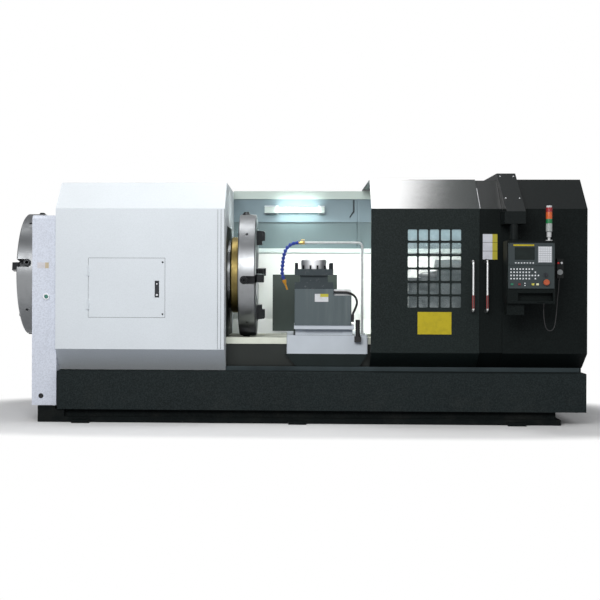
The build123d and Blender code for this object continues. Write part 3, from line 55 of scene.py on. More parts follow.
# %% Camera
camera_data = bpy.data.cameras.new("camera")
camera_data.lens = 73.2
camera_data.sensor_width = 36
camera_data.shift_x = 0.08
camera_data.shift_y = -0.02833
camera_data.clip_end = 200
camera = bpy.data.objects.new("camera", camera_data)
camera.location = (0.030, -11.730, 1.267)
turn = (Matrix.Rotation(radians(2.1), 4, "Z") @ Matrix.Rotation(radians(90), 4, "X")
        @ Matrix.Rotation(radians(0.2), 4, "Z"))
camera.rotation_euler = turn.to_euler()
scene.collection.objects.link(camera)
scene.camera = camera
print("camera at", tuple(camera.location))

# %% [markdown]
# ## Pendant cord
# The hand-held pendant hangs beside the control panel, and its cord drops out of the panel's
# underside, sags in a slack loop and rises to the pendant. A cord is best made as a curve with
# a round bevel: a few control points of a smooth spline set the sag, and the bevel gives the
# thickness everywhere.

# %% Pendant cord
CORD_D = 0.009
CORD_Y = -1.020
cord_points = [
    (2.1780, 1.098), (2.1780, 1.020), (2.1850, 0.945), (2.1960, 0.890), (2.2180, 0.860),
    (2.2510, 0.860), (2.2720, 0.891), (2.2830, 0.950), (2.2920, 1.050), (2.2980, 1.150),
    (2.3105, 1.245), (2.3105, 1.320),
]
cord_curve = bpy.data.curves.new("pendant_lead", "CURVE")
cord_curve.dimensions = "3D"
cord_curve.bevel_depth = CORD_D / 2
cord_curve.bevel_resolution = 5
cord_curve.resolution_u = 10
spline = cord_curve.splines.new("NURBS")
spline.points.add(len(cord_points) - 1)
for point, (x, z) in zip(spline.points, cord_points):
    point.co = (x, CORD_Y, z, 1)
spline.order_u = 3
spline.use_endpoint_u = True
pendant_lead = bpy.data.objects.new("pendant_lead", cord_curve)
scene.collection.objects.link(pendant_lead)
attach(pendant_lead, "panel")
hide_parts("pendant_cord")
print("cord points:", len(cord_points))

# %% [markdown]
# ## Writing shader sums as Python
# A finish is a small sum: a base colour, plus a cloud of noise, times how worn it is. Blender
# builds such sums from Math nodes, and wiring them by hand hides the idea. This class wraps one
# socket of a material and overloads Python's signs, so that `0.4 + 0.1 * cloud` adds its own
# nodes.


# %% A socket that can be added and multiplied
class Wire:
    """One output socket of a material's nodes, usable in Python sums."""

    def __init__(self, finish, socket):
        self.finish = finish
        self.socket = socket

    def _sum(self, operation, first, second, clamp=False):
        settings = {"operation": operation, "use_clamp": clamp}
        return self.finish.node("ShaderNodeMath", settings, {0: first, 1: second})

    def __add__(self, other):
        return self._sum("ADD", self, other)

    __radd__ = __add__

    def __mul__(self, other):
        return self._sum("MULTIPLY", self, other)

    __rmul__ = __mul__

    def __sub__(self, other):
        return self._sum("SUBTRACT", self, other)

    def __rsub__(self, other):
        return self._sum("SUBTRACT", other, self)

    def __truediv__(self, other):
        return self._sum("DIVIDE", self, other)

    def __rtruediv__(self, other):
        return self._sum("DIVIDE", other, self)

    def __pow__(self, other):
        return self._sum("POWER", self, other)

    def __rpow__(self, other):
        return self._sum("POWER", other, self)

    def __abs__(self):
        return self._sum("ABSOLUTE", self, 0.0)

    def __gt__(self, other):
        return self._sum("GREATER_THAN", self, other)

    def __lt__(self, other):
        return self._sum("LESS_THAN", self, other)

    def clamped(self):
        return self._sum("ADD", self, 0.0, clamp=True)


# %% [markdown]
# ## A finish
# Each finish is one material around a Principled shader. It reads Object coordinates: every
# piece of this model has its place in its mesh, so those coordinates are the machine's own
# metres, and a pattern stays on its piece when a door slides. Everything else comes from one
# method, `node`, that takes a node's type, its settings and what goes into its sockets.


# %% The finish class
class Finish:
    """A material built from procedural nodes around one Principled shader."""

    def __init__(self, name, **constants):
        self.material = bpy.data.materials.new(name)
        self.material.use_nodes = True
        self.tree = self.material.node_tree
        self.tree.nodes.clear()
        self.output = self.tree.nodes.new("ShaderNodeOutputMaterial")
        self.shader = self.tree.nodes.new("ShaderNodeBsdfPrincipled")
        self.tree.links.new(self.shader.outputs[0], self.output.inputs[0])
        for socket, value in constants.items():
            self.shader.inputs[socket.replace("_", " ")].default_value = value
        self.place = self.node("ShaderNodeTexCoord", out="Object")
        self.x, self.y, self.z = (self.split(self.place, axis) for axis in "XYZ")

    def node(self, kind, settings=None, inputs=None, out=0):
        made = self.tree.nodes.new(kind)
        for name, value in (settings or {}).items():
            setattr(made, name, value)
        for name, value in (inputs or {}).items():
            if isinstance(value, Wire):
                self.tree.links.new(value.socket, made.inputs[name])
            else:
                made.inputs[name].default_value = value
        return Wire(self, made.outputs[out])

    def split(self, vector, axis):
        return self.node("ShaderNodeSeparateXYZ", None, {0: vector}, out=axis)

    def noise(self, scale, detail=3.0, rough=0.55, stretch=(1, 1, 1)):
        where = self.place
        if stretch != (1, 1, 1):
            where = self.node("ShaderNodeMapping", None, {"Vector": self.place, "Scale": stretch})
        return self.node("ShaderNodeTexNoise", None, {
            "Vector": where, "Scale": scale, "Detail": detail, "Roughness": rough})

    def ramp(self, value, low, high):
        """0 below low, 1 above high, smooth between."""
        return self.node("ShaderNodeMapRange", {"interpolation_type": "SMOOTHSTEP"}, {
            "Value": value, "From Min": low, "From Max": high})

    def mix(self, factor, first, second):
        """Between two colours, by a factor."""
        return self.node("ShaderNodeMix", {"data_type": "RGBA"}, {
            0: factor, 6: first, 7: second}, out=2)

    def bump(self, height, strength, distance=0.001):
        normal = self.node("ShaderNodeBump", None, {
            "Height": height, "Strength": strength, "Distance": distance})
        self.set("Normal", normal)

    def set(self, socket, value):
        if isinstance(value, Wire):
            self.tree.links.new(value.socket, self.shader.inputs[socket])
        else:
            self.shader.inputs[socket].default_value = value

    def show(self, shader):
        """Send another shader than the Principled one to the output."""
        self.tree.links.new(shader.socket, self.output.inputs[0])


# %% Colours, and a finish on CAD nodes
def rgb(red, green, blue):
    return (red, green, blue, 1.0)


def shade(colour, factor, lift=0.0):
    """A darker or lighter copy of a colour."""
    return tuple(min(1.0, c * factor + lift) for c in colour[:3]) + (1.0,)


def give(finish, *names):
    """Put a finish on CAD nodes, by name."""
    for name in names:
        mesh = nodes[name].data
        mesh.materials.clear()
        mesh.materials.append(finish.material)
    print(finish.material.name, "on", len(names), "nodes")


# %% [markdown]
# ## Sheet metal paint
# The covers are bent steel sheet with a sprayed coat that dries to a fine orange-peel skin. A
# very fine noise gives that skin as bump, a broad one lets the colour drift by a few percent as
# real paint does, and dust settles towards the floor. On pale paint that dust darkens the lower
# part, and there it is painted shade as well.


# %% Sprayed paint
FLOOR_DUST_AND_SHADE = rgb(0.20, 0.185, 0.16)
DUST_AND_SHADE_TOP = 0.55
SKIN_DEPTH = 0.0006


def sprayed_paint(name, colour, rough, skin_scale, skin, drift=0.06, speckle=0.0, dust_and_shade=0.0,
                  level=0.35):
    """Paint with an orange-peel skin, a slow drift of tone and a dusty cast near the floor, which
    on pale paint is painted shade as well.

    A speckle above zero adds paler grains to it, and one below zero adds darker ones.
    """
    paint = Finish(name, Specular_IOR_Level=level)
    cloud = paint.noise(1.3, 4.0)
    fine = paint.noise(skin_scale, 2.0)
    darker, lighter = shade(colour, 1 - drift), shade(colour, 1 + drift)
    tone = paint.mix(paint.ramp(cloud, 0.3, 0.7), darker, lighter)
    if speckle:
        grain = paint.ramp(paint.noise(skin_scale, 3.0, 0.8), 0.38, 0.66)
        fleck = shade(colour, 2.0, 0.005) if speckle > 0 else shade(colour, 0.55)
        tone = paint.mix(grain * abs(speckle), tone, fleck)
    # Near the floor the colour mixes towards a dusty tone: settled dust on dark paint, and on pale
    # paint a darkening towards the bottom that is painted shade as well.
    if dust_and_shade:
        near_floor = 1.0 - paint.ramp(paint.z, 0.0, DUST_AND_SHADE_TOP)
        settled_dust_and_shade = near_floor * paint.ramp(paint.noise(6.0, 5.0), 0.42, 0.8)
        tone = paint.mix(settled_dust_and_shade * dust_and_shade, tone, FLOOR_DUST_AND_SHADE)
    paint.tone = tone
    paint.set("Base Color", tone)
    paint.set("Roughness", (rough + 0.12 * (cloud - 0.5) + 0.05 * (fine - 0.5)).clamped())
    paint.bump(fine, skin, SKIN_DEPTH)
    return paint


def gloss_coat(paint, weight, rough, ior):
    """A second, glossier layer over the paint, as strong as the weight says."""
    paint.set("Coat Weight", weight.clamped())
    paint.set("Coat Roughness", rough)
    paint.set("Coat IOR", ior)


# %% [markdown]
# ## Covers, casing and duct
# The headstock cover is white, and everything round the doors is a black that looks grey where
# it faces the lamps. All of it is the same recipe with other numbers. Above the fold where the
# covers lean back, a coat makes the black slope shine as the real one does.

# %% White and pale covers
white_paint = sprayed_paint("white_sprayed_paint", rgb(0.785, 0.83, 0.86), 0.42, 85.0, 0.25,
                            drift=0.02, speckle=-0.10)
# The floor mix darkens this pale paint towards the bottom: painted shade as well as dust.
pale_paint = sprayed_paint("pale_sprayed_paint", rgb(0.78, 0.82, 0.91), 0.50, 85.0, 0.4,
                           drift=0.03, speckle=-0.40, dust_and_shade=0.10)
give(white_paint, "headstock_cover", "service_door", "service_hinges")
give(pale_paint, "end_guard")

# %% Black covers with their shining slope
FOLD_Z = 1.940
ABOVE_FOLD = FOLD_Z - 0.001
COVER_EDGE_X = 1.8725
black_paint = sprayed_paint("black_textured_paint", rgb(0.0045, 0.0066, 0.0064), 0.50, 85.0, 0.6,
                            drift=0.12, speckle=0.55, level=0.07)
door_shine, cover_loss = 0.42, 0.24
brow = ((door_shine - cover_loss * (black_paint.x > COVER_EDGE_X))
        * (black_paint.z > ABOVE_FOLD))
gloss_coat(black_paint, brow, 0.32, 2.4)
give(black_paint, "right_door", "right_cover", "panel_housing")

# %% Duct
DUCT_SLOPE_Z = 1.905
duct_paint = sprayed_paint("duct_paint", rgb(0.0065, 0.0090, 0.0090), 0.42, 90.0, 0.5, drift=0.12,
                           speckle=0.35, level=0.10)
gloss_coat(duct_paint, 0.22 * (duct_paint.z > DUCT_SLOPE_Z), 0.30, 2.4)
give(duct_paint, "cable_duct")

# %% Casing and plinth
CASING_STEP_Z = 0.465
casing_paint = sprayed_paint("casing_textured_paint", rgb(0.0095, 0.0138, 0.0142), 0.55, 85.0, 0.7,
                             drift=0.12, speckle=0.80, dust_and_shade=0.04, level=0.10)
casing_paint.set("Roughness", (0.55 + 0.35 * (casing_paint.z > CASING_STEP_Z)).clamped())
plinth_paint = sprayed_paint("plinth_paint", rgb(0.0040, 0.0058, 0.0058), 0.62, 85.0, 0.6,
                             drift=0.2, speckle=0.6, dust_and_shade=0.05, level=0.05)
give(casing_paint, "bed_base")
give(plinth_paint, "base_plinth")

# %% [markdown]
# ## The left door
# The slope above the left door has a gloss coat that has dulled unevenly: it mirrors the lamp
# overhead along most of its length and fades to satin in blotches at its right end. The coat's
# weight does this. It follows a height mask and a ramp along X, whose edge two noises make
# ragged.

# %% Door paint with a polished brow
door_paint = sprayed_paint("door_textured_paint", rgb(0.0085, 0.0130, 0.0125), 0.50, 85.0, 0.6,
                           drift=0.12, speckle=0.65, level=0.12)
POLISHED_TO_X, SATIN_FROM_X = 0.92, 1.42
blotches = 0.22 * (door_paint.noise(16.0, 6.0, 0.7) - 0.5)
grit = 0.10 * (door_paint.noise(120.0, 1.0) - 0.5)
ragged = door_paint.x - 0.5 * (door_paint.z - FOLD_Z) + blotches + grit
satin = door_paint.ramp(ragged, POLISHED_TO_X, SATIN_FROM_X)
polished = (1.0 - 0.62 * satin) * (door_paint.z > ABOVE_FOLD)
gloss_coat(door_paint, polished, 0.32, 2.8)
give(door_paint, "left_door")

# %% [markdown]
# ## Painted shade by height
# The wall behind the work is one long folded sheet in one white paint. Its folds face the light
# differently, and that is painted into its colour as bands of painted shade: a pale beam, a
# blue-grey lamp panel, a darker set-back panel, a pale ledge and a white lower panel. Comparing
# the height with each fold's height gives a mask for every band.


# %% Rear wall with its painted shade bands
def banded(finish, base, bands):
    """Lay one colour over another between two heights, band by band."""
    tone = base
    for low, high, colour in bands:
        inside = (finish.z > low) * (finish.z < high)
        tone = finish.mix(inside, tone, colour)
    return tone


WALL_WHITE = rgb(0.87, 0.90, 0.87)
wall_paint = sprayed_paint("rear_wall_paint", WALL_WHITE, 0.5, 160.0, 0.2, level=0.3)
# Every band is painted shade on the one white paint: light on the beam and the ledge, deep on the
# lamp panel and the set-back panel.
wall_painted_shade_bands = banded(wall_paint, WALL_WHITE, [
    (2.128, 2.30, rgb(0.50, 0.58, 0.54)),
    (1.8925, 2.128, rgb(0.17, 0.235, 0.265)),
    (1.623, 1.8925, rgb(0.115, 0.163, 0.172)),
    (1.5695, 1.623, rgb(0.62, 0.72, 0.70)),
])
smear = wall_paint.ramp(wall_paint.noise(2.2, 5.0, 0.6, (1, 1, 0.4)), 0.35, 0.75)
wall_paint.set("Base Color", wall_paint.mix(smear * 0.10, wall_painted_shade_bands, rgb(0.30, 0.36, 0.34)))
give(wall_paint, "rear_enclosure")

# %% [markdown]
# ## Saddle, slides and tool post
# The saddle and the cross slide are castings in pale machine enamel, with a dark strip where
# the slide runs: bare oiled iron, painted near black as shadow under the cross slide. The apron
# below is black. The tool post is a dark grey enamel that has been wiped with oily rags: it has
# soft vertical streaks, which are a noise squeezed flat along Z.


# %% Saddle and apron
def within(finish, x_low, x_high, z_low, z_high):
    """1 inside a rectangle of the front view, 0 outside."""
    return ((finish.x > x_low) * (finish.x < x_high)) * ((finish.z > z_low) * (finish.z < z_high))


saddle_paint = sprayed_paint("saddle_enamel", rgb(0.62, 0.67, 0.72), 0.40, 160.0, 0.25, drift=0.09)
# The slideway strip is bare oiled iron, made near black as painted shadow under the cross slide.
oiled_slideway_and_shadow = within(saddle_paint, 0.0, 0.56, 0.7895, 0.7915)
saddle_paint.set("Base Color", saddle_paint.mix(oiled_slideway_and_shadow, saddle_paint.tone,
                                                rgb(0.016, 0.018, 0.018)))
apron_paint = sprayed_paint("apron_enamel", rgb(0.010, 0.016, 0.016), 0.5, 150.0, 0.5,
                            drift=0.25, speckle=0.2, level=0.15)
give(saddle_paint, "saddle", "cross_slide")
give(apron_paint, "apron")

# %% Tool post, guard and tailstock
POST_GREY = rgb(0.090, 0.117, 0.124)
post_paint = sprayed_paint("post_enamel", POST_GREY, 0.42, 150.0, 0.35)
streaks = post_paint.ramp(post_paint.noise(14.0, 4.0, 0.6, (1, 1, 0.08)), 0.45, 0.8)
post_paint.set("Base Color", post_paint.mix(streaks * 0.5, POST_GREY, rgb(0.180, 0.214, 0.219)))
post_paint.set("Roughness", (0.50 - 0.18 * streaks).clamped())
guard_paint = sprayed_paint("splash_guard_paint", rgb(0.040, 0.055, 0.048), 0.38, 240.0, 0.3,
                            drift=0.3)
tail_paint = sprayed_paint("tailstock_enamel", rgb(0.10, 0.125, 0.13), 0.45, 160.0, 0.35, drift=0.2)
give(post_paint, "post_base")
give(guard_paint, "splash_guard")
give(tail_paint, "tailstock_body")

# %% [markdown]
# ## Machined steel
# A turned face carries the fine spiral that the tool left. Rings come from the distance to the
# turning axis: a Vector Math node measures it, and the place along the axis is added so that a
# rim gets rings too. A noise that only sees this sum breaks it into uneven rings, which tilt
# the light through bump and vary the roughness.


# %% Turned and ground steel
ABOUT_X, ABOUT_Z = (0.0, 1.0, 1.0), (1.0, 1.0, 0.0)


def turned_metal(name, colour, rough, axis_point, across, ring=900.0):
    """Bare metal turned about an axis through axis_point; across picks the other two axes."""
    metal = Finish(name, Metallic=1.0)
    centred = metal.node("ShaderNodeVectorMath", {"operation": "SUBTRACT"},
                         {0: metal.place, 1: axis_point})
    flat = metal.node("ShaderNodeVectorMath", {"operation": "MULTIPLY"}, {0: centred, 1: across})
    radius = metal.node("ShaderNodeVectorMath", {"operation": "LENGTH"}, {0: flat}, out="Value")
    along = metal.node("ShaderNodeVectorMath", {"operation": "DOT_PRODUCT"}, {
        0: metal.place, 1: tuple(1.0 - a for a in across)}, out="Value")
    tool_mark = metal.node("ShaderNodeTexNoise", {"noise_dimensions": "1D"}, {
        "W": (radius + along) * ring, "Scale": 1.0, "Detail": 2.0})
    handled = metal.ramp(metal.noise(9.0, 5.0, 0.62), 0.4, 0.75)
    metal.set("Base Color", metal.mix(handled * 0.25, colour, shade(colour, 0.72)))
    metal.set("Roughness", (rough + 0.10 * (tool_mark - 0.5) + 0.14 * handled).clamped())
    metal.bump(tool_mark, 0.12, 0.0002)
    return metal


# %% Chucks, spindle and screw
SPINDLE_Z = 1.345
spindle_axis = (0.0, 0.0, SPINDLE_Z)
chuck_steel = turned_metal("turned_chuck_steel", rgb(0.29, 0.30, 0.31), 0.36, spindle_axis,
                           ABOUT_X, ring=260.0)
nose_steel = turned_metal("polished_spindle_steel", rgb(0.26, 0.27, 0.27), 0.26, spindle_axis,
                          ABOUT_X)
brass_disc = turned_metal("turned_bronze", rgb(0.36, 0.275, 0.10), 0.42, spindle_axis,
                          ABOUT_X, ring=300.0)
cap_steel = turned_metal("turned_cap_steel", rgb(0.74, 0.75, 0.77), 0.50, (0.187, -0.42, 0.0),
                         ABOUT_Z, ring=500.0)
screw_steel = turned_metal("ground_screw_steel", rgb(0.50, 0.51, 0.52), 0.25,
                           (0.0, -0.12, 0.64), ABOUT_X)
give(chuck_steel, "front_chuck_body", "rear_chuck_body")
give(nose_steel, "spindle", "spindle_bearings", "tailstock_quill")
give(brass_disc, "adapter_ring")
give(cap_steel, "motor_cap")
give(screw_steel, "ball_screw")

# %% [markdown]
# ## Black oxide and bare castings
# Jaws, bolts and the tool head are blackened steel: almost black, with the corners rubbed pale
# by work. The bed ways are ground along their length, so their streaks run along X. Below their
# ground top the ways are near black: painted shadow under the top.


# %% Blackened steel
def blackened_steel(name, colour, rough, rub=0.35):
    """Dark steel whose blackening has rubbed off in patches."""
    steel = Finish(name, Metallic=0.85)
    worn = steel.ramp(steel.noise(26.0, 6.0, 0.65), 0.56, 0.78)
    steel.set("Base Color", steel.mix(worn * rub, colour, rgb(0.30, 0.30, 0.31)))
    steel.set("Roughness", (rough - 0.14 * worn + 0.1 * (steel.noise(180.0, 2.0) - 0.5)).clamped())
    steel.bump(steel.noise(340.0, 3.0), 0.2, 0.0003)
    return steel


# %% Jaws, tool head and bolts
jaw_steel = blackened_steel("blackened_jaw_steel", rgb(0.030, 0.032, 0.034), 0.33, rub=0.25)
head_steel = blackened_steel("tool_head_steel", rgb(0.040, 0.050, 0.055), 0.40)
bolt_steel = blackened_steel("bolt_steel", rgb(0.018, 0.020, 0.022), 0.33, rub=0.3)
cast_face = blackened_steel("headstock_casting_iron", rgb(0.055, 0.065, 0.055), 0.55, rub=0.15)
give(jaw_steel, "jaw_screws", *[f"{end}_jaw_{n}" for end in ("front", "rear") for n in range(1, 5)])
give(head_steel, "tool_head")
give(bolt_steel, "clamp_bolts")
give(cast_face, "headstock_casting")

# %% Ground ways
WAY_STEP_SHADOW_Z = 0.705
way_iron = Finish("ground_way_iron", Metallic=0.5)
grind = way_iron.noise(60.0, 4.0, 0.6, (0.03, 1, 1))
oil = way_iron.ramp(way_iron.noise(3.0, 5.0, 0.6), 0.4, 0.7)
# Below the step the iron is painted near black as shadow under the ways' top.
ground_top_over_painted_shadow = way_iron.z > WAY_STEP_SHADOW_Z
way_tone = way_iron.mix(ground_top_over_painted_shadow, rgb(0.020, 0.024, 0.022), rgb(0.74, 0.77, 0.67))
way_tone = way_iron.mix(oil * 0.2 * ground_top_over_painted_shadow, way_tone, rgb(0.16, 0.17, 0.13))
way_iron.set("Base Color", way_tone)
way_iron.set("Roughness", (0.34 + 0.25 * (grind - 0.5) + 0.1 * oil).clamped())
way_iron.bump(grind, 0.15, 0.0003)
give(way_iron, "bed_ways")

rail_paint = sprayed_paint("rail_bar", rgb(0.045, 0.06, 0.065), 0.35, 200.0, 0.2, drift=0.3,
                           level=0.15)
rail_paint.set("Metallic", 0.4)
give(rail_paint, "door_rail")

# %% [markdown]
# ## Chrome handles
# The bow handles are chromed tube. A red plastic film is still wound round the lower part of
# each bar, and it leaves a dark line down the middle. Height and depth masks pick that stretch
# out, and wrapping X makes one mask serve both handles, so no second piece is needed.

# %% Chrome with its red film
HANDLE_X = 1.7260
HALF_PITCH = 0.0625
chrome = Finish("handle_chrome")
on_bar = (chrome.z > 1.045) * (chrome.z < 1.165) * (chrome.y < -0.800)
wrapped_x = chrome.node("ShaderNodeMath", {"operation": "WRAP"}, {
    0: chrome.x, 1: HANDLE_X + HALF_PITCH, 2: HANDLE_X - HALF_PITCH})
red_film = on_bar * (abs(wrapped_x - HANDLE_X) > 0.0035)
brushed = chrome.noise(30.0, 3.0, 0.5, (1, 1, 0.05))
seat = chrome.y > -0.785
bar_tone = chrome.mix(on_bar, rgb(0.82, 0.83, 0.83), rgb(0.10, 0.09, 0.09))
bar_tone = chrome.mix(red_film, bar_tone, rgb(0.33, 0.060, 0.055))
chrome.set("Base Color", chrome.mix(seat, bar_tone, rgb(0.035, 0.038, 0.038)))
chrome.set("Metallic", (1.0 - red_film).clamped())
chrome.set("Roughness", (0.34 + 0.1 * brushed).clamped())
chrome.bump(brushed, 0.05, 0.0002)
give(chrome, "left_door_handle", "right_door_handle")

# %% [markdown]
# ## Moulded plastics and rubber
# Moulded parts share one recipe: a plain colour, a faint cloud of tone, a slightly uneven gloss
# and the fine grain of the mould. A function keeps the recipe, and each part gives it its own
# colour and gloss.


# %% Moulded parts
def moulded(name, colour, rough, grain=0.12, level=0.4):
    """Injection-moulded plastic or rubber."""
    plastic = Finish(name, Specular_IOR_Level=level)
    cloud = plastic.noise(18.0, 4.0)
    patchy = plastic.ramp(cloud, 0.35, 0.7)
    plastic.set("Base Color", plastic.mix(patchy, shade(colour, 0.82), colour))
    plastic.set("Roughness", (rough + 0.12 * (cloud - 0.5)).clamped())
    plastic.bump(plastic.noise(900.0, 2.0), grain, 0.0002)
    return plastic


# %% Hose, buttons, boxes and cables
hose_blue = moulded("hose_blue", rgb(0.035, 0.075, 0.42), 0.32)
nozzle_orange = moulded("nozzle_orange", rgb(0.80, 0.38, 0.03), 0.35)
box_white = moulded("box_white", rgb(0.78, 0.79, 0.80), 0.4)
rubber = moulded("black_rubber", rgb(0.014, 0.014, 0.015), 0.55, 0.3)
latch_black = moulded("latch_black", rgb(0.022, 0.026, 0.032), 0.38)
pipe_white = moulded("pipe_paint", rgb(0.80, 0.84, 0.84), 0.3)
knob_black = moulded("knob_black", rgb(0.020, 0.024, 0.03), 0.35)
stop_red = moulded("stop_head_red", rgb(0.55, 0.115, 0.045), 0.34)
start_green = moulded("start_key_green", rgb(0.030, 0.20, 0.11), 0.36)
stop_key_red = moulded("stop_key_red", rgb(0.19, 0.028, 0.032), 0.36)
valve_brass = turned_metal("valve_brass", rgb(0.72, 0.52, 0.20), 0.25, (0.0, -0.28, 1.647),
                           ABOUT_X)
give(hose_blue, "hose_links")
give(nozzle_orange, "coolant_nozzle")
give(box_white, "junction_box")
give(rubber, "turret_cable", "cable_conduit")
give(latch_black, "latch_paddle")
give(pipe_white, "coolant_riser")
give(knob_black, "mode_knob")
give(stop_red, "emergency_stop")
give(start_green, "start_button")
give(stop_key_red, "stop_button")
give(valve_brass, "coolant_valve")
pendant_lead.data.materials.append(rubber.material)

# %% [markdown]
# ## Signal tower
# The tower on the panel has a grey foot and one clear ring each for green, amber and red. The
# rings are moulded as one stack, so the colour depends only on the height above the panel, and
# a fine sine wave along Z gives the ribs that scatter the light.

# %% Signal tower
PANEL_TOP = 1.641
tower_finish = moulded("signal_tower", rgb(0.62, 0.63, 0.62), 0.28)
ribs = tower_finish.node("ShaderNodeMath", {"operation": "SINE"}, {0: tower_finish.z * 1500.0})
tower_tone = banded(tower_finish, rgb(0.60, 0.61, 0.61), [
    (PANEL_TOP + 0.078, PANEL_TOP + 0.1525, rgb(0.40, 0.42, 0.41)),
    (PANEL_TOP + 0.1535, PANEL_TOP + 0.1915, rgb(0.010, 0.19, 0.055)),
    (PANEL_TOP + 0.1925, PANEL_TOP + 0.2525, rgb(0.66, 0.115, 0.022)),
    (PANEL_TOP + 0.2535, PANEL_TOP + 0.2925, rgb(0.34, 0.016, 0.020)),
])
tower_finish.set("Base Color", tower_tone)
tower_finish.bump(ribs, 0.25, 0.0006)
give(tower_finish, "tower_light")

# %% [markdown]
# ## Pendant
# The pendant is a black box with a grey hand wheel low on its face and two small knobs above
# it, the left one red. All three stand proud of the face, so a depth mask finds them and a
# height mask tells the wheel from the knobs.

# %% Pendant
PENDANT_X = 2.3105
PENDANT_FACE_Y = -1.0615
PENDANT_BLACK = rgb(0.008, 0.009, 0.009)
pendant_finish = moulded("pendant_plastic", PENDANT_BLACK, 0.45, level=0.15)
proud = pendant_finish.y < PENDANT_FACE_Y
wheel = proud * (pendant_finish.z < 1.40)
knobs = proud * (pendant_finish.z > 1.43)
dial = pendant_finish.mix(wheel, PENDANT_BLACK, rgb(0.20, 0.21, 0.21))
dial = pendant_finish.mix(knobs, dial, rgb(0.55, 0.55, 0.55))
dial = pendant_finish.mix(knobs * (pendant_finish.x < PENDANT_X), dial, rgb(0.45, 0.03, 0.03))
pendant_finish.set("Base Color", dial)
give(pendant_finish, "pendant")

# %% [markdown]
# ## Control unit
# The unit is one moulded face. Its keys are pale caps that stand three millimetres proud, so
# depth alone tells a key from the face, and a few boxes in X and Z pick out the screen, the
# keypad's pale backing and the coloured pilot lamps.

# %% Control unit
UNIT_GREY = rgb(0.040, 0.052, 0.054)
unit = moulded("control_unit", UNIT_GREY, 0.42, level=0.25)
upper_key = (unit.y < -1.1505) * (unit.z > 1.43)
lower_key = (unit.y < -1.1425) * (unit.z < 1.427)
keypad = within(unit, 2.105, 2.223, 1.452, 1.590)
screen = within(unit, 1.9045, 2.0755, 1.4745, 1.5835) * (unit.y > -1.1495)
amber_lamp = within(unit, 2.05, 2.076, 1.25, 1.28) * lower_key
pale_lamp = within(unit, 2.09, 2.116, 1.25, 1.28) * lower_key
unit_tone = UNIT_GREY
for mask, colour in [
    (keypad, rgb(0.50, 0.51, 0.53)),
    (upper_key, rgb(0.74, 0.76, 0.78)),
    (lower_key, rgb(0.80, 0.82, 0.84)),
    (screen, rgb(0.016, 0.023, 0.021)),
    (amber_lamp, rgb(0.62, 0.56, 0.10)),
    (pale_lamp, rgb(0.75, 0.72, 0.45)),
]:
    unit_tone = unit.mix(mask, unit_tone, colour)
unit.set("Base Color", unit_tone)
unit.set("Roughness", (0.42 - 0.30 * screen).clamped())
give(unit, "cnc_unit")

# %% [markdown]
# ## Work lamp
# The lamp inside the work space is a frosted tube that glows between two grey end caps. The
# glow is an Emission Color that is black outside the tube's stretch of X. Emission alone would
# light the wall only weakly and with grain, so a soft lamp below it does the lighting.

# %% Lamp tube
lamp_finish = moulded("lamp_tube", rgb(0.85, 0.88, 0.86), 0.3)
tube = (lamp_finish.x > -0.163) * (lamp_finish.x < 0.249)
lamp_finish.set("Base Color", lamp_finish.mix(tube, rgb(0.42, 0.50, 0.47), rgb(0.9, 0.93, 0.9)))
lamp_finish.set("Emission Color", lamp_finish.mix(tube, rgb(0, 0, 0), rgb(0.86, 1.0, 0.95)))
lamp_finish.set("Emission Strength", 2.6)
give(lamp_finish, "work_lamp")

# %% [markdown]
# ## Pane glass
# The panes of the left door are hardened glass with wiped oil on them, and coolant mist lies on
# the upper ones. Thin glass needs no refraction here: a low Alpha lets the machine show through
# it, and the oil and the mist make it less clear and less glossy.

# %% Pane glass
pane_glass = Finish("pane_glass", IOR=1.45)
wiped = pane_glass.ramp(pane_glass.noise(11.0, 6.0, 0.6), 0.42, 0.75)
misted = pane_glass.ramp(pane_glass.z, 1.50, 1.72)
film = pane_glass.mix(wiped, rgb(0.42, 0.50, 0.51), rgb(0.60, 0.66, 0.66))
pane_glass.set("Base Color", pane_glass.mix(misted, film, rgb(0.56, 0.75, 0.80)))
pane_glass.set("Alpha", (0.08 + 0.16 * wiped + 0.44 * misted).clamped())
pane_glass.set("Roughness", (0.06 + 0.18 * wiped).clamped())
give(pane_glass, "left_door_glass")

# %% [markdown]
# ## Small pieces
# Everything below starts as a bmesh primitive or a short profile, is shaped by operators and is
# put in place in its mesh, so that each object stays at the origin. `put` turns the bmesh into
# an object, gives it its finish and ties it to the body it rides on. Boxes are bevelled bars,
# and everything round is a profile that is spun about its own axis.


# %% From a bmesh to a piece
def put(work, name, body, finish):
    """Finish a bmesh as a piece that rides on a body."""
    bmesh.ops.remove_doubles(work, verts=work.verts, dist=1e-6)
    bmesh.ops.recalc_face_normals(work, faces=work.faces)
    mesh = bpy.data.meshes.new(name)
    work.to_mesh(mesh)
    work.free()
    mesh.materials.append(finish.material)
    piece = bpy.data.objects.new(name, mesh)
    scene.collection.objects.link(piece)
    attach(piece, body)
    print(name, "faces", len(mesh.polygons))


def join(work, part):
    """Copy one bmesh into another and free it."""
    loose = bpy.data.meshes.new("loose")
    part.to_mesh(loose)
    part.free()
    work.from_mesh(loose)
    bpy.data.meshes.remove(loose)


def verts_in(made):
    """The vertices among the things that an operator made."""
    return [item for item in made if isinstance(item, bmesh.types.BMVert)]


def aimed(place, direction):
    """The matrix that stands a piece made along Z at a place, along a direction."""
    turned = Vector(direction).normalized().to_track_quat("Z", "Y").to_matrix().to_4x4()
    return Matrix.Translation(place) @ turned


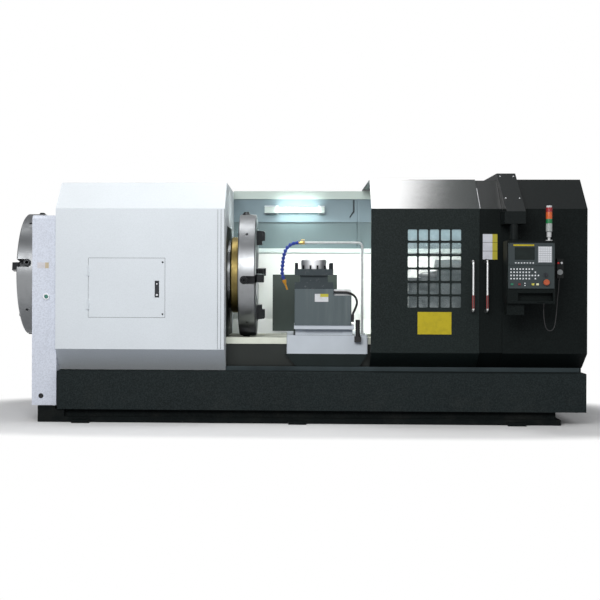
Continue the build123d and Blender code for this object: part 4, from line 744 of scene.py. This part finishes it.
# %% Bars and turned shapes
def add_bar(work, low, high, edge=0.0, segments=2):
    """A bar between two corners, its edges rounded."""
    low, high = Vector(low), Vector(high)
    part = bmesh.new()
    bmesh.ops.create_cube(part, size=1.0)
    bmesh.ops.scale(part, vec=high - low, verts=part.verts)
    bmesh.ops.translate(part, vec=(low + high) / 2, verts=part.verts)
    if edge:
        bmesh.ops.bevel(part, geom=part.edges[:], offset=edge, segments=segments, profile=0.5,
                        affect="EDGES", material=-1)
    join(work, part)


def add_turned(work, profile, place, direction, segments=32):
    """Spin an (along, radius) profile about a direction through a place."""
    part = bmesh.new()
    rim = [part.verts.new((r, 0.0, along)) for along, r in profile]
    edges = [part.edges.new(pair) for pair in zip(rim, rim[1:])]
    bmesh.ops.spin(part, geom=rim + edges, cent=(0, 0, 0), axis=(0, 0, 1), angle=2 * pi,
                   steps=segments, use_merge=True)
    bmesh.ops.remove_doubles(part, verts=part.verts, dist=1e-6)
    bmesh.ops.transform(part, matrix=aimed(place, direction), verts=part.verts)
    join(work, part)


# %% Screw heads
def add_round_head(work, place, direction, r, height):
    """A round screw head with a hexagon socket sunk in it."""
    add_turned(work, [(0, r), (height * 0.45, r), (height * 0.85, r * 0.8),
                      (height, r * 0.5)], place, direction, 20)
    part = bmesh.new()
    bmesh.ops.create_circle(part, cap_ends=False, segments=6, radius=r * 0.5)
    wall = bmesh.ops.extrude_edge_only(part, edges=part.edges[:])
    deep = verts_in(wall["geom"])
    bmesh.ops.translate(part, vec=(0, 0, -height * 0.6), verts=deep)
    bmesh.ops.contextual_create(part, geom=deep)
    top = Vector(place) + Vector(direction).normalized() * height
    bmesh.ops.transform(part, matrix=aimed(top, direction), verts=part.verts)
    join(work, part)


# %% [markdown]
# ## Plain plates
# Thin printed plates sit on the doors, the end guard and the tool post. Here they are bare
# enamelled plates, riveted at the corners, with a plain band of colour where the real ones are
# coloured. Each is a thin bar with rounded edges.


# %% Enamel and riveted plates
TO_FRONT = (0, -1, 0)
PLATE_THICK = 0.0012


def plate_enamel(name, ground, band=None, band_from=0.0, band_above=0.0):
    """Enamel with a plain coloured band to the right of an X place, above a height."""
    enamel = moulded(name, ground, 0.33, 0.05)
    faded = enamel.ramp(enamel.noise(22.0, 4.0), 0.4, 0.75)
    tone = enamel.mix(faded * 0.5, ground, shade(ground, 0.72))
    if band:
        tone = enamel.mix((enamel.x > band_from) * (enamel.z > band_above), tone, band)
    enamel.set("Base Color", tone)
    return enamel


def riveted_plate(work, x_low, x_high, z_low, z_high, y, rivet=0.0022):
    """A thin plate on a front face, with a rivet in each corner."""
    add_bar(work, (x_low, y - PLATE_THICK, z_low), (x_high, y, z_high), 0.0004, 1)
    inset = 2.2 * rivet
    for x in (x_low + inset, x_high - inset):
        for z in (z_low + inset, z_high - inset):
            add_turned(work, [(0, rivet), (0.0008, rivet * 0.8), (0.0013, 0.0)],
                       (x, y - PLATE_THICK, z), TO_FRONT, 10)


# %% Plates on the doors
FRONT = -0.750
DOOR_FRONT = -0.741
yellow_enamel = plate_enamel("yellow_plate_enamel", rgb(0.54, 0.43, 0.010))
notice = bmesh.new()
riveted_plate(notice, 1.113, 1.415, 0.812, 1.013, FRONT, rivet=0.0028)
put(notice, "door_plate_yellow", "left_door", yellow_enamel)

label_enamel = plate_enamel("label_plate_enamel", rgb(0.70, 0.71, 0.76),
                            rgb(0.50, 0.44, 0.04), 1.778)
stack = bmesh.new()
STACK_TOP, PLATE_PITCH, PLATE_HIGH = 1.712, 0.0768, 0.0735
for row in range(3):
    top = STACK_TOP - row * PLATE_PITCH
    riveted_plate(stack, 1.693, 1.823, top - PLATE_HIGH, top, DOOR_FRONT)
put(stack, "door_plates_stacked", "right_door", label_enamel)

# %% Plates on the tool post and the end guard
post_label = plate_enamel("post_plate_enamel", rgb(0.74, 0.75, 0.76), rgb(0.55, 0.50, 0.05),
                          0.244, band_above=1.142)
post_plate = bmesh.new()
riveted_plate(post_plate, 0.195, 0.318, 1.098, 1.170, -0.600)
put(post_plate, "post_plate", "cross_slide", post_label)

guard_label = plate_enamel("guard_plate_enamel", rgb(0.72, 0.70, 0.72),
                           rgb(0.60, 0.50, 0.34), -2.262)
guard_plate = bmesh.new()
riveted_plate(guard_plate, -2.333, -2.228, 1.395, 1.448, -0.690)
put(guard_plate, "guard_plate", "frame", guard_label)

# %% [markdown]
# ## Screws, lens and plugs
# Two round-headed screws sit on the service door's hinge side. The end guard has an oil sight
# glass, a domed lens in a steel bezel, and a rubber plug in its drain hole. They are spun from
# short profiles of pairs: how far along the axis, and how far out from it.

# %% Service door screws
service_screws = bmesh.new()
for z in (1.452, 0.983):
    add_round_head(service_screws, (-1.181, FRONT, z), TO_FRONT, 0.0085, 0.005)
put(service_screws, "service_door_screws", "service_door", bolt_steel)

# %% Sight glass and drain plug
sight = bmesh.new()
add_turned(sight, [(0, 0.0178), (0.0012, 0.0178), (0.0052, 0.0150), (0.0085, 0.009),
                   (0.0098, 0.0)], (-2.250, -0.692, 1.137), TO_FRONT, 32)
lens_green = moulded("sight_lens", rgb(0.10, 0.30, 0.24), 0.12, 0.02)
put(sight, "sight_lens", "frame", lens_green)
bezel = bmesh.new()
add_turned(bezel, [(0, 0.0300), (0.0035, 0.0300), (0.0050, 0.0285), (0.0050, 0.0205),
                   (0.0035, 0.0182), (0, 0.0182), (0, 0.0300)],
           (-2.250, -0.696, 1.137), TO_FRONT, 48)
put(bezel, "sight_bezel", "frame", cap_steel)

plug = bmesh.new()
add_turned(plug, [(-0.008, 0.0), (-0.008, 0.0176), (0.0, 0.0176), (0.0, 0.023), (0.003, 0.0225),
                  (0.0045, 0.018), (0.0045, 0.010), (0.002, 0.008), (0.002, 0.0)],
           (-2.296, -0.690, 0.233), TO_FRONT, 32)
put(plug, "drain_plug", "frame", rubber)

# %% [markdown]
# ## Duct screws
# The duct over the roof follows the covers' slope, and two pairs of screws hold its lid there.
# Each lies on that slope at a share of the way up, so its place is worked out from the slope's
# two ends, and its direction is the slope's own normal.

# %% Duct screws
slope_start = Vector((0, -0.990, 1.899))
slope_end = Vector((0, -0.450, 2.281))
slope_run = slope_end - slope_start
slope_out = Vector((0, -slope_run.z, slope_run.y)).normalized()
duct_screws = bmesh.new()
for share in (0.92, 0.34):
    for x in (1.885, 2.007):
        at = slope_start + slope_run * share
        add_round_head(duct_screws, (x, at.y, at.z), slope_out, 0.0075, 0.0045)
put(duct_screws, "duct_screws", "frame", cap_steel)

# %% [markdown]
# ## Edge highlight strips
# The edges of the right door and of the fixed cover catch the light along the slope, and thin
# bright steel strips stand there as painted highlights. A flat strip is one small face, its own
# cross section, that is extruded up the slope.


# %% Highlight strips along the slope
SLOPE_DEPTH = 0.298
STRIP_WIDE = 0.005
STRIP_THICK = 0.0015


def add_slope_highlight_strip(work, x, front, roof):
    """A flat bright strip on a cover's sloping brow, a painted highlight along its edge."""
    start, end = Vector((x, front, FOLD_Z)), Vector((x, front + SLOPE_DEPTH, roof))
    run = end - start
    out = Vector((0, -run.z, run.y)).normalized() * STRIP_THICK
    corners = [work.verts.new(start + Vector((side * STRIP_WIDE / 2, 0, 0)) + lift)
               for side, lift in ((-1, Vector()), (1, Vector()), (1, out), (-1, out))]
    face = work.faces.new(corners)
    grown = bmesh.ops.extrude_face_region(work, geom=[face], use_keep_orig=True)
    bmesh.ops.translate(work, vec=run, verts=verts_in(grown["geom"]))


# Bright steel strips as painted highlights where the black edges catch the light.
door_edge_highlight = bmesh.new()
add_slope_highlight_strip(door_edge_highlight, 1.6685, DOOR_FRONT, 2.2140)
put(door_edge_highlight, "right_door_edge_highlight", "right_door", cap_steel)
cover_edge_highlight = bmesh.new()
add_slope_highlight_strip(cover_edge_highlight, COVER_EDGE_X, FRONT, 2.2230)
put(cover_edge_highlight, "right_cover_edge_highlight", "frame", cap_steel)

# %% [markdown]
# ## Seals and lock barrels
# The service door closes on a rubber seal that shows as a dark line round it, and three more
# seals run down the cover's closing post. They are long thin bars. The latch has a key barrel
# and a small button, each a turned disc with a stepped rim.

# %% Service door seal
SEAL_HALF = 0.0012
LEFT, RIGHT, LOW, HIGH = -1.8555, -1.1595, 0.9515, 1.4895
SEAL_OUT_Y, SEAL_IN_Y = -0.7475, -0.7445
door_seal = bmesh.new()
for x in (LEFT, RIGHT):
    add_bar(door_seal, (x - SEAL_HALF, SEAL_OUT_Y, LOW), (x + SEAL_HALF, SEAL_IN_Y, HIGH))
for z in (LOW, HIGH):
    add_bar(door_seal, (LEFT, SEAL_OUT_Y, z - SEAL_HALF), (RIGHT, SEAL_IN_Y, z + SEAL_HALF))
put(door_seal, "service_door_seal", "frame", rubber)

# %% Lock barrels
barrel = bmesh.new()
add_turned(barrel, [(0, 0.0090), (0.0016, 0.0090), (0.0024, 0.0078), (0.0014, 0.0060),
                    (0.0014, 0.0)], (-1.232, -0.7532, 1.156), TO_FRONT, 28)
add_turned(barrel, [(0, 0.0060), (0.0014, 0.0060), (0.0020, 0.0045), (0.0020, 0.0)],
           (-1.232, -0.7532, 1.256), TO_FRONT, 24)
put(barrel, "lock_barrel", "latch", cap_steel)

# %% Post seals
seals = bmesh.new()
for x in (-0.6825, -0.6535, -0.6225):
    add_bar(seals, (x - SEAL_HALF, -0.7545, 0.672), (x + SEAL_HALF, -0.7515, 1.930), 0.0004, 1)
put(seals, "post_seals", "frame", rubber)

# %% [markdown]
# ## Lamp brackets and conduit
# The work lamp hangs between two small folded brackets, and its wire comes down the wall in a
# thin steel conduit. The conduit's straight runs are a ring of edges that is extruded, and its
# bend spins that ring about the centre of the bend, as a pipe bender does.


# %% Bent conduit
def add_conduit(work, start, steps, r=0.006):
    """A round tube grown from a ring, step by step.

    ("run", vector) extrudes the ring, and ("bend", centre, axis, degrees) spins it.
    """
    ring = bmesh.ops.create_circle(work, cap_ends=True, segments=12, radius=r)["verts"]
    bmesh.ops.transform(work, matrix=aimed(start, steps[0][1]), verts=ring)
    edges = [e for e in work.edges if all(v in ring for v in e.verts)]
    for step in steps:
        if step[0] == "run":
            grown = bmesh.ops.extrude_edge_only(work, edges=edges)["geom"]
            ring = verts_in(grown)
            edges = [e for e in grown if isinstance(e, bmesh.types.BMEdge)
                     and all(v in ring for v in e.verts)]
            bmesh.ops.translate(work, vec=Vector(step[1]), verts=ring)
        else:
            turned = bmesh.ops.spin(work, geom=edges, cent=step[1], axis=step[2],
                                    angle=radians(step[3]), steps=6)["geom_last"]
            ring = verts_in(turned)
            edges = [e for e in turned if isinstance(e, bmesh.types.BMEdge)]
    bmesh.ops.contextual_create(work, geom=edges)


# %% Brackets and conduit
LAMP_WALL = 0.800
brackets = bmesh.new()
for x_low, x_high in ((-0.302, -0.160), (0.246, 0.312)):
    add_bar(brackets, (x_low, LAMP_WALL - 0.004, 1.972), (x_high, LAMP_WALL, 2.062), 0.001, 1)
    add_bar(brackets, (x_low, 0.708, 2.048), (x_high, LAMP_WALL, 2.052), 0.001, 1)
    for x in (x_low + 0.014, x_high - 0.014):
        add_round_head(brackets, (x, LAMP_WALL - 0.004, 2.056), TO_FRONT, 0.005, 0.003)
put(brackets, "lamp_brackets", "frame", saddle_paint)

conduit = bmesh.new()
add_conduit(conduit, (0.610, 0.776, 2.120), [
    ("run", (0, 0, -0.110)),
    ("bend", (0.580, 0.776, 2.010), (0, 1, 0), 60),
    ("run", (-0.0250, 0, -0.0433)),
])
put(conduit, "lamp_conduit", "frame", bolt_steel)

# %% [markdown]
# ## Collars round the jaw screws
# At the rim of each chuck a blackened collar is bolted over every jaw screw. It keeps the screw
# in place and guides the key. A stepped profile is spun about the screw's own spoke.


# %% Jaw screw collars
SCREW_DEPTH = 0.100
COLLAR_SEAT_R = 0.5785


def chuck_collars(face_x, outward, turn_deg, name):
    """Four collars on a chuck's rim, each square to its spoke."""
    work = bmesh.new()
    screw_x = face_x - outward * SCREW_DEPTH
    for jaw in range(4):
        angle = radians(turn_deg + 90 * jaw)
        spoke = Vector((0, -outward * sin(angle), cos(angle)))
        seat = Vector((screw_x, 0, SPINDLE_Z)) + spoke * COLLAR_SEAT_R
        add_turned(work, [(0, 0.038), (0.008, 0.038), (0.011, 0.034), (0.011, 0.029),
                          (0.024, 0.027), (0.027, 0.023), (0.027, 0.016), (0.004, 0.016),
                          (0, 0.016)], seat, spoke, 32)
    put(work, name, "spindle", jaw_steel)


chuck_collars(-0.353, 1, 5.0, "front_chuck_collars")
chuck_collars(-2.553, -1, 10.0, "rear_chuck_collars")

# %% [markdown]
# ## Details of the panel
# A yellow strip lies above the screen, four screws hold the control unit, and where the cord
# leaves the panel and enters the pendant it passes through a ribbed rubber boot that keeps it
# from kinking.

# %% Screen strip, screen glass and unit screws
strip = bmesh.new()
add_bar(strip, (1.893, -1.1512, 1.594), (2.070, -1.1500, 1.607), 0.0003, 1)
put(strip, "screen_strip_yellow", "panel", yellow_enamel)

screen_glass = moulded("screen_glass", rgb(0.014, 0.021, 0.019), 0.10, 0.0)
glass = bmesh.new()
add_bar(glass, (1.9065, -1.1478, 1.4765), (2.0735, -1.1450, 1.5815), 0.0006, 1)
put(glass, "screen_glass", "panel", screen_glass)

unit_screws = bmesh.new()
for x in (1.8585, 2.2395):
    for z in (1.4345, 1.6135):
        add_round_head(unit_screws, (x, -1.150, z), TO_FRONT, 0.0035, 0.002)
put(unit_screws, "unit_screws", "panel", bolt_steel)


# %% Cord boots
BOOT_R = 0.0095


def cord_boot(place, name):
    """A tapered boot with ribs round the cord, hanging from a place."""
    work = bmesh.new()
    profile = [(0, BOOT_R)]
    for rib in range(4):
        along = 0.004 + rib * 0.006
        size = BOOT_R - rib * 0.0009
        profile += [(along, size), (along + 0.003, size - 0.0002), (along + 0.0035, size - 0.0018),
                    (along + 0.0055, size - 0.0020)]
    profile += [(0.030, 0.0050), (0.030, 0.0046), (0, 0.0046), (0, BOOT_R)]
    add_turned(work, profile, place, (0, 0, -1), 20)
    put(work, name, "panel", rubber)


cord_boot((2.178, CORD_Y, 1.098), "cord_boot_panel")
cord_boot((PENDANT_X, CORD_Y, 1.320), "cord_boot_pendant")

# %% [markdown]
# ## Light
# A wide soft box in front does most of the lighting, with a weak fill from the right. A box
# overhead stands where the black slope mirrors it to the camera, and two small ones light the
# tops of the chucks. Three lamps inside the work space stand for what its tube lamp and its
# white walls give.


# %% Soft lamps
def soft_lamp(name, place, target, size, power, colour=(1, 1, 1), spread=180):
    """A rectangular soft box that looks at a target."""
    data = bpy.data.lights.new(name, "AREA")
    data.shape = "RECTANGLE"
    data.size, data.size_y = size
    data.energy = power
    data.color = colour
    data.spread = radians(spread)
    lamp = bpy.data.objects.new(name, data)
    lamp.location = place
    lamp.rotation_euler = (Vector(target) - Vector(place)).to_track_quat("-Z", "Y").to_euler()
    scene.collection.objects.link(lamp)
    print(name, power, "W")


soft_lamp("front_box", (-1.5, -8.5, 5.0), (0, 0, 1.1), (6.0, 3.0), 520)
soft_lamp("right_fill", (6.5, -6.0, 3.5), (1.0, 0, 1.2), (3.0, 3.0), 60)
soft_lamp("overhead_box", (0.65, -0.1, 6.4), (0.65, -0.1, 0), (1.7, 1.3), 68)
soft_lamp("rear_chuck_box", (-2.9, -0.2, 4.0), (-2.5, 0.0, 1.9), (0.9, 0.7), 4)
soft_lamp("front_chuck_box", (-0.60, 0.40, 4.4), (-0.43, -0.1, 1.9), (0.45, 1.3), 9)
soft_lamp("work_light", (0.04, 0.70, 2.02), (0.04, 0.80, 2.00), (0.42, 0.05), 2.6,
          (0.88, 1.0, 0.96))
soft_lamp("work_wash", (0.04, -0.20, 2.15), (0.04, 0.76, 1.15), (1.1, 0.3), 5.5,
          (0.97, 1.0, 0.97), 95)
soft_lamp("tailstock_wash", (1.25, -0.15, 2.05), (1.25, 0.76, 1.25), (0.8, 0.3), 8.0,
          (0.97, 1.0, 0.98), 120)

# %% [markdown]
# ## Floor
# The floor is a plain pale surface that keeps the shadow under the plinth and melts into white
# further out. Light Path tells what kind of ray is looking: the camera and the mirrors see the
# pale floor, and the light that bounces off it sees a dark one, as in a workshop.


# %% Floor
def ray_is(finish, *kinds):
    """1 where the floor or the sky is seen by one of these kinds of ray."""
    seen = [finish.node("ShaderNodeLightPath", out=kind) for kind in kinds]
    return sum(seen[1:], seen[0]).clamped()


floor_mesh = bpy.data.meshes.new("floor")
ground = bmesh.new()
bmesh.ops.create_grid(ground, x_segments=2, y_segments=2, size=60)
ground.to_mesh(floor_mesh)
ground.free()
floor = bpy.data.objects.new("floor", floor_mesh)
scene.collection.objects.link(floor)
print("floor laid")

# %% Floor finish
SHADOW_HALF_X, SHADOW_HALF_Y = 3.6, 1.9
floor_look = Finish("floor_look", Roughness=0.9, Specular_IOR_Level=0.1)
patches = floor_look.ramp(floor_look.noise(0.7, 3.0), 0.3, 0.7)
floor_tone = floor_look.mix(patches, rgb(0.84, 0.84, 0.84), rgb(0.88, 0.88, 0.88))
seen = ray_is(floor_look, "Is Camera Ray", "Is Glossy Ray", "Is Transmission Ray")
floor_look.set("Base Color", floor_look.mix(seen, rgb(0.14, 0.16, 0.20), floor_tone))
away_x, away_y = abs(floor_look.x / SHADOW_HALF_X), abs(floor_look.y / SHADOW_HALF_Y)
far = floor_look.ramp(away_x ** 4 + away_y ** 4, 0.45, 1.0)
white = floor_look.node("ShaderNodeEmission", None, {"Color": rgb(1, 1, 1), "Strength": 1.0})
floor_look.show(floor_look.node("ShaderNodeMixShader", None, {
    0: seen * far, 1: Wire(floor_look, floor_look.shader.outputs[0]), 2: white}))
floor_mesh.materials.append(floor_look.material)
print("floor finish:", len(floor_look.tree.nodes), "nodes")

# %% [markdown]
# ## World
# The camera sees plain white behind the machine, and so does what shows through glass. The
# light that the world gives is much dimmer, so that the lamps shape the machine. The world's
# nodes come from the same method as a finish's.


# %% World
class Sky(Finish):
    """The world's nodes, with a Background in place of a Principled shader."""

    def __init__(self, world):
        world.use_nodes = True
        self.tree = world.node_tree
        self.tree.nodes.clear()
        self.output = self.tree.nodes.new("ShaderNodeOutputWorld")


scene.world = bpy.data.worlds.new("tent")
sky = Sky(scene.world)
dim = sky.node("ShaderNodeBackground", None, {"Color": rgb(0.97, 0.98, 1.0), "Strength": 0.37})
bright = sky.node("ShaderNodeBackground", None, {"Color": rgb(1, 1, 1), "Strength": 1.0})
looked_at = ray_is(sky, "Is Camera Ray", "Is Transmission Ray")
sky.show(sky.node("ShaderNodeMixShader", None, {0: looked_at, 1: dim, 2: bright}))
scene.view_settings.view_transform = "Standard"
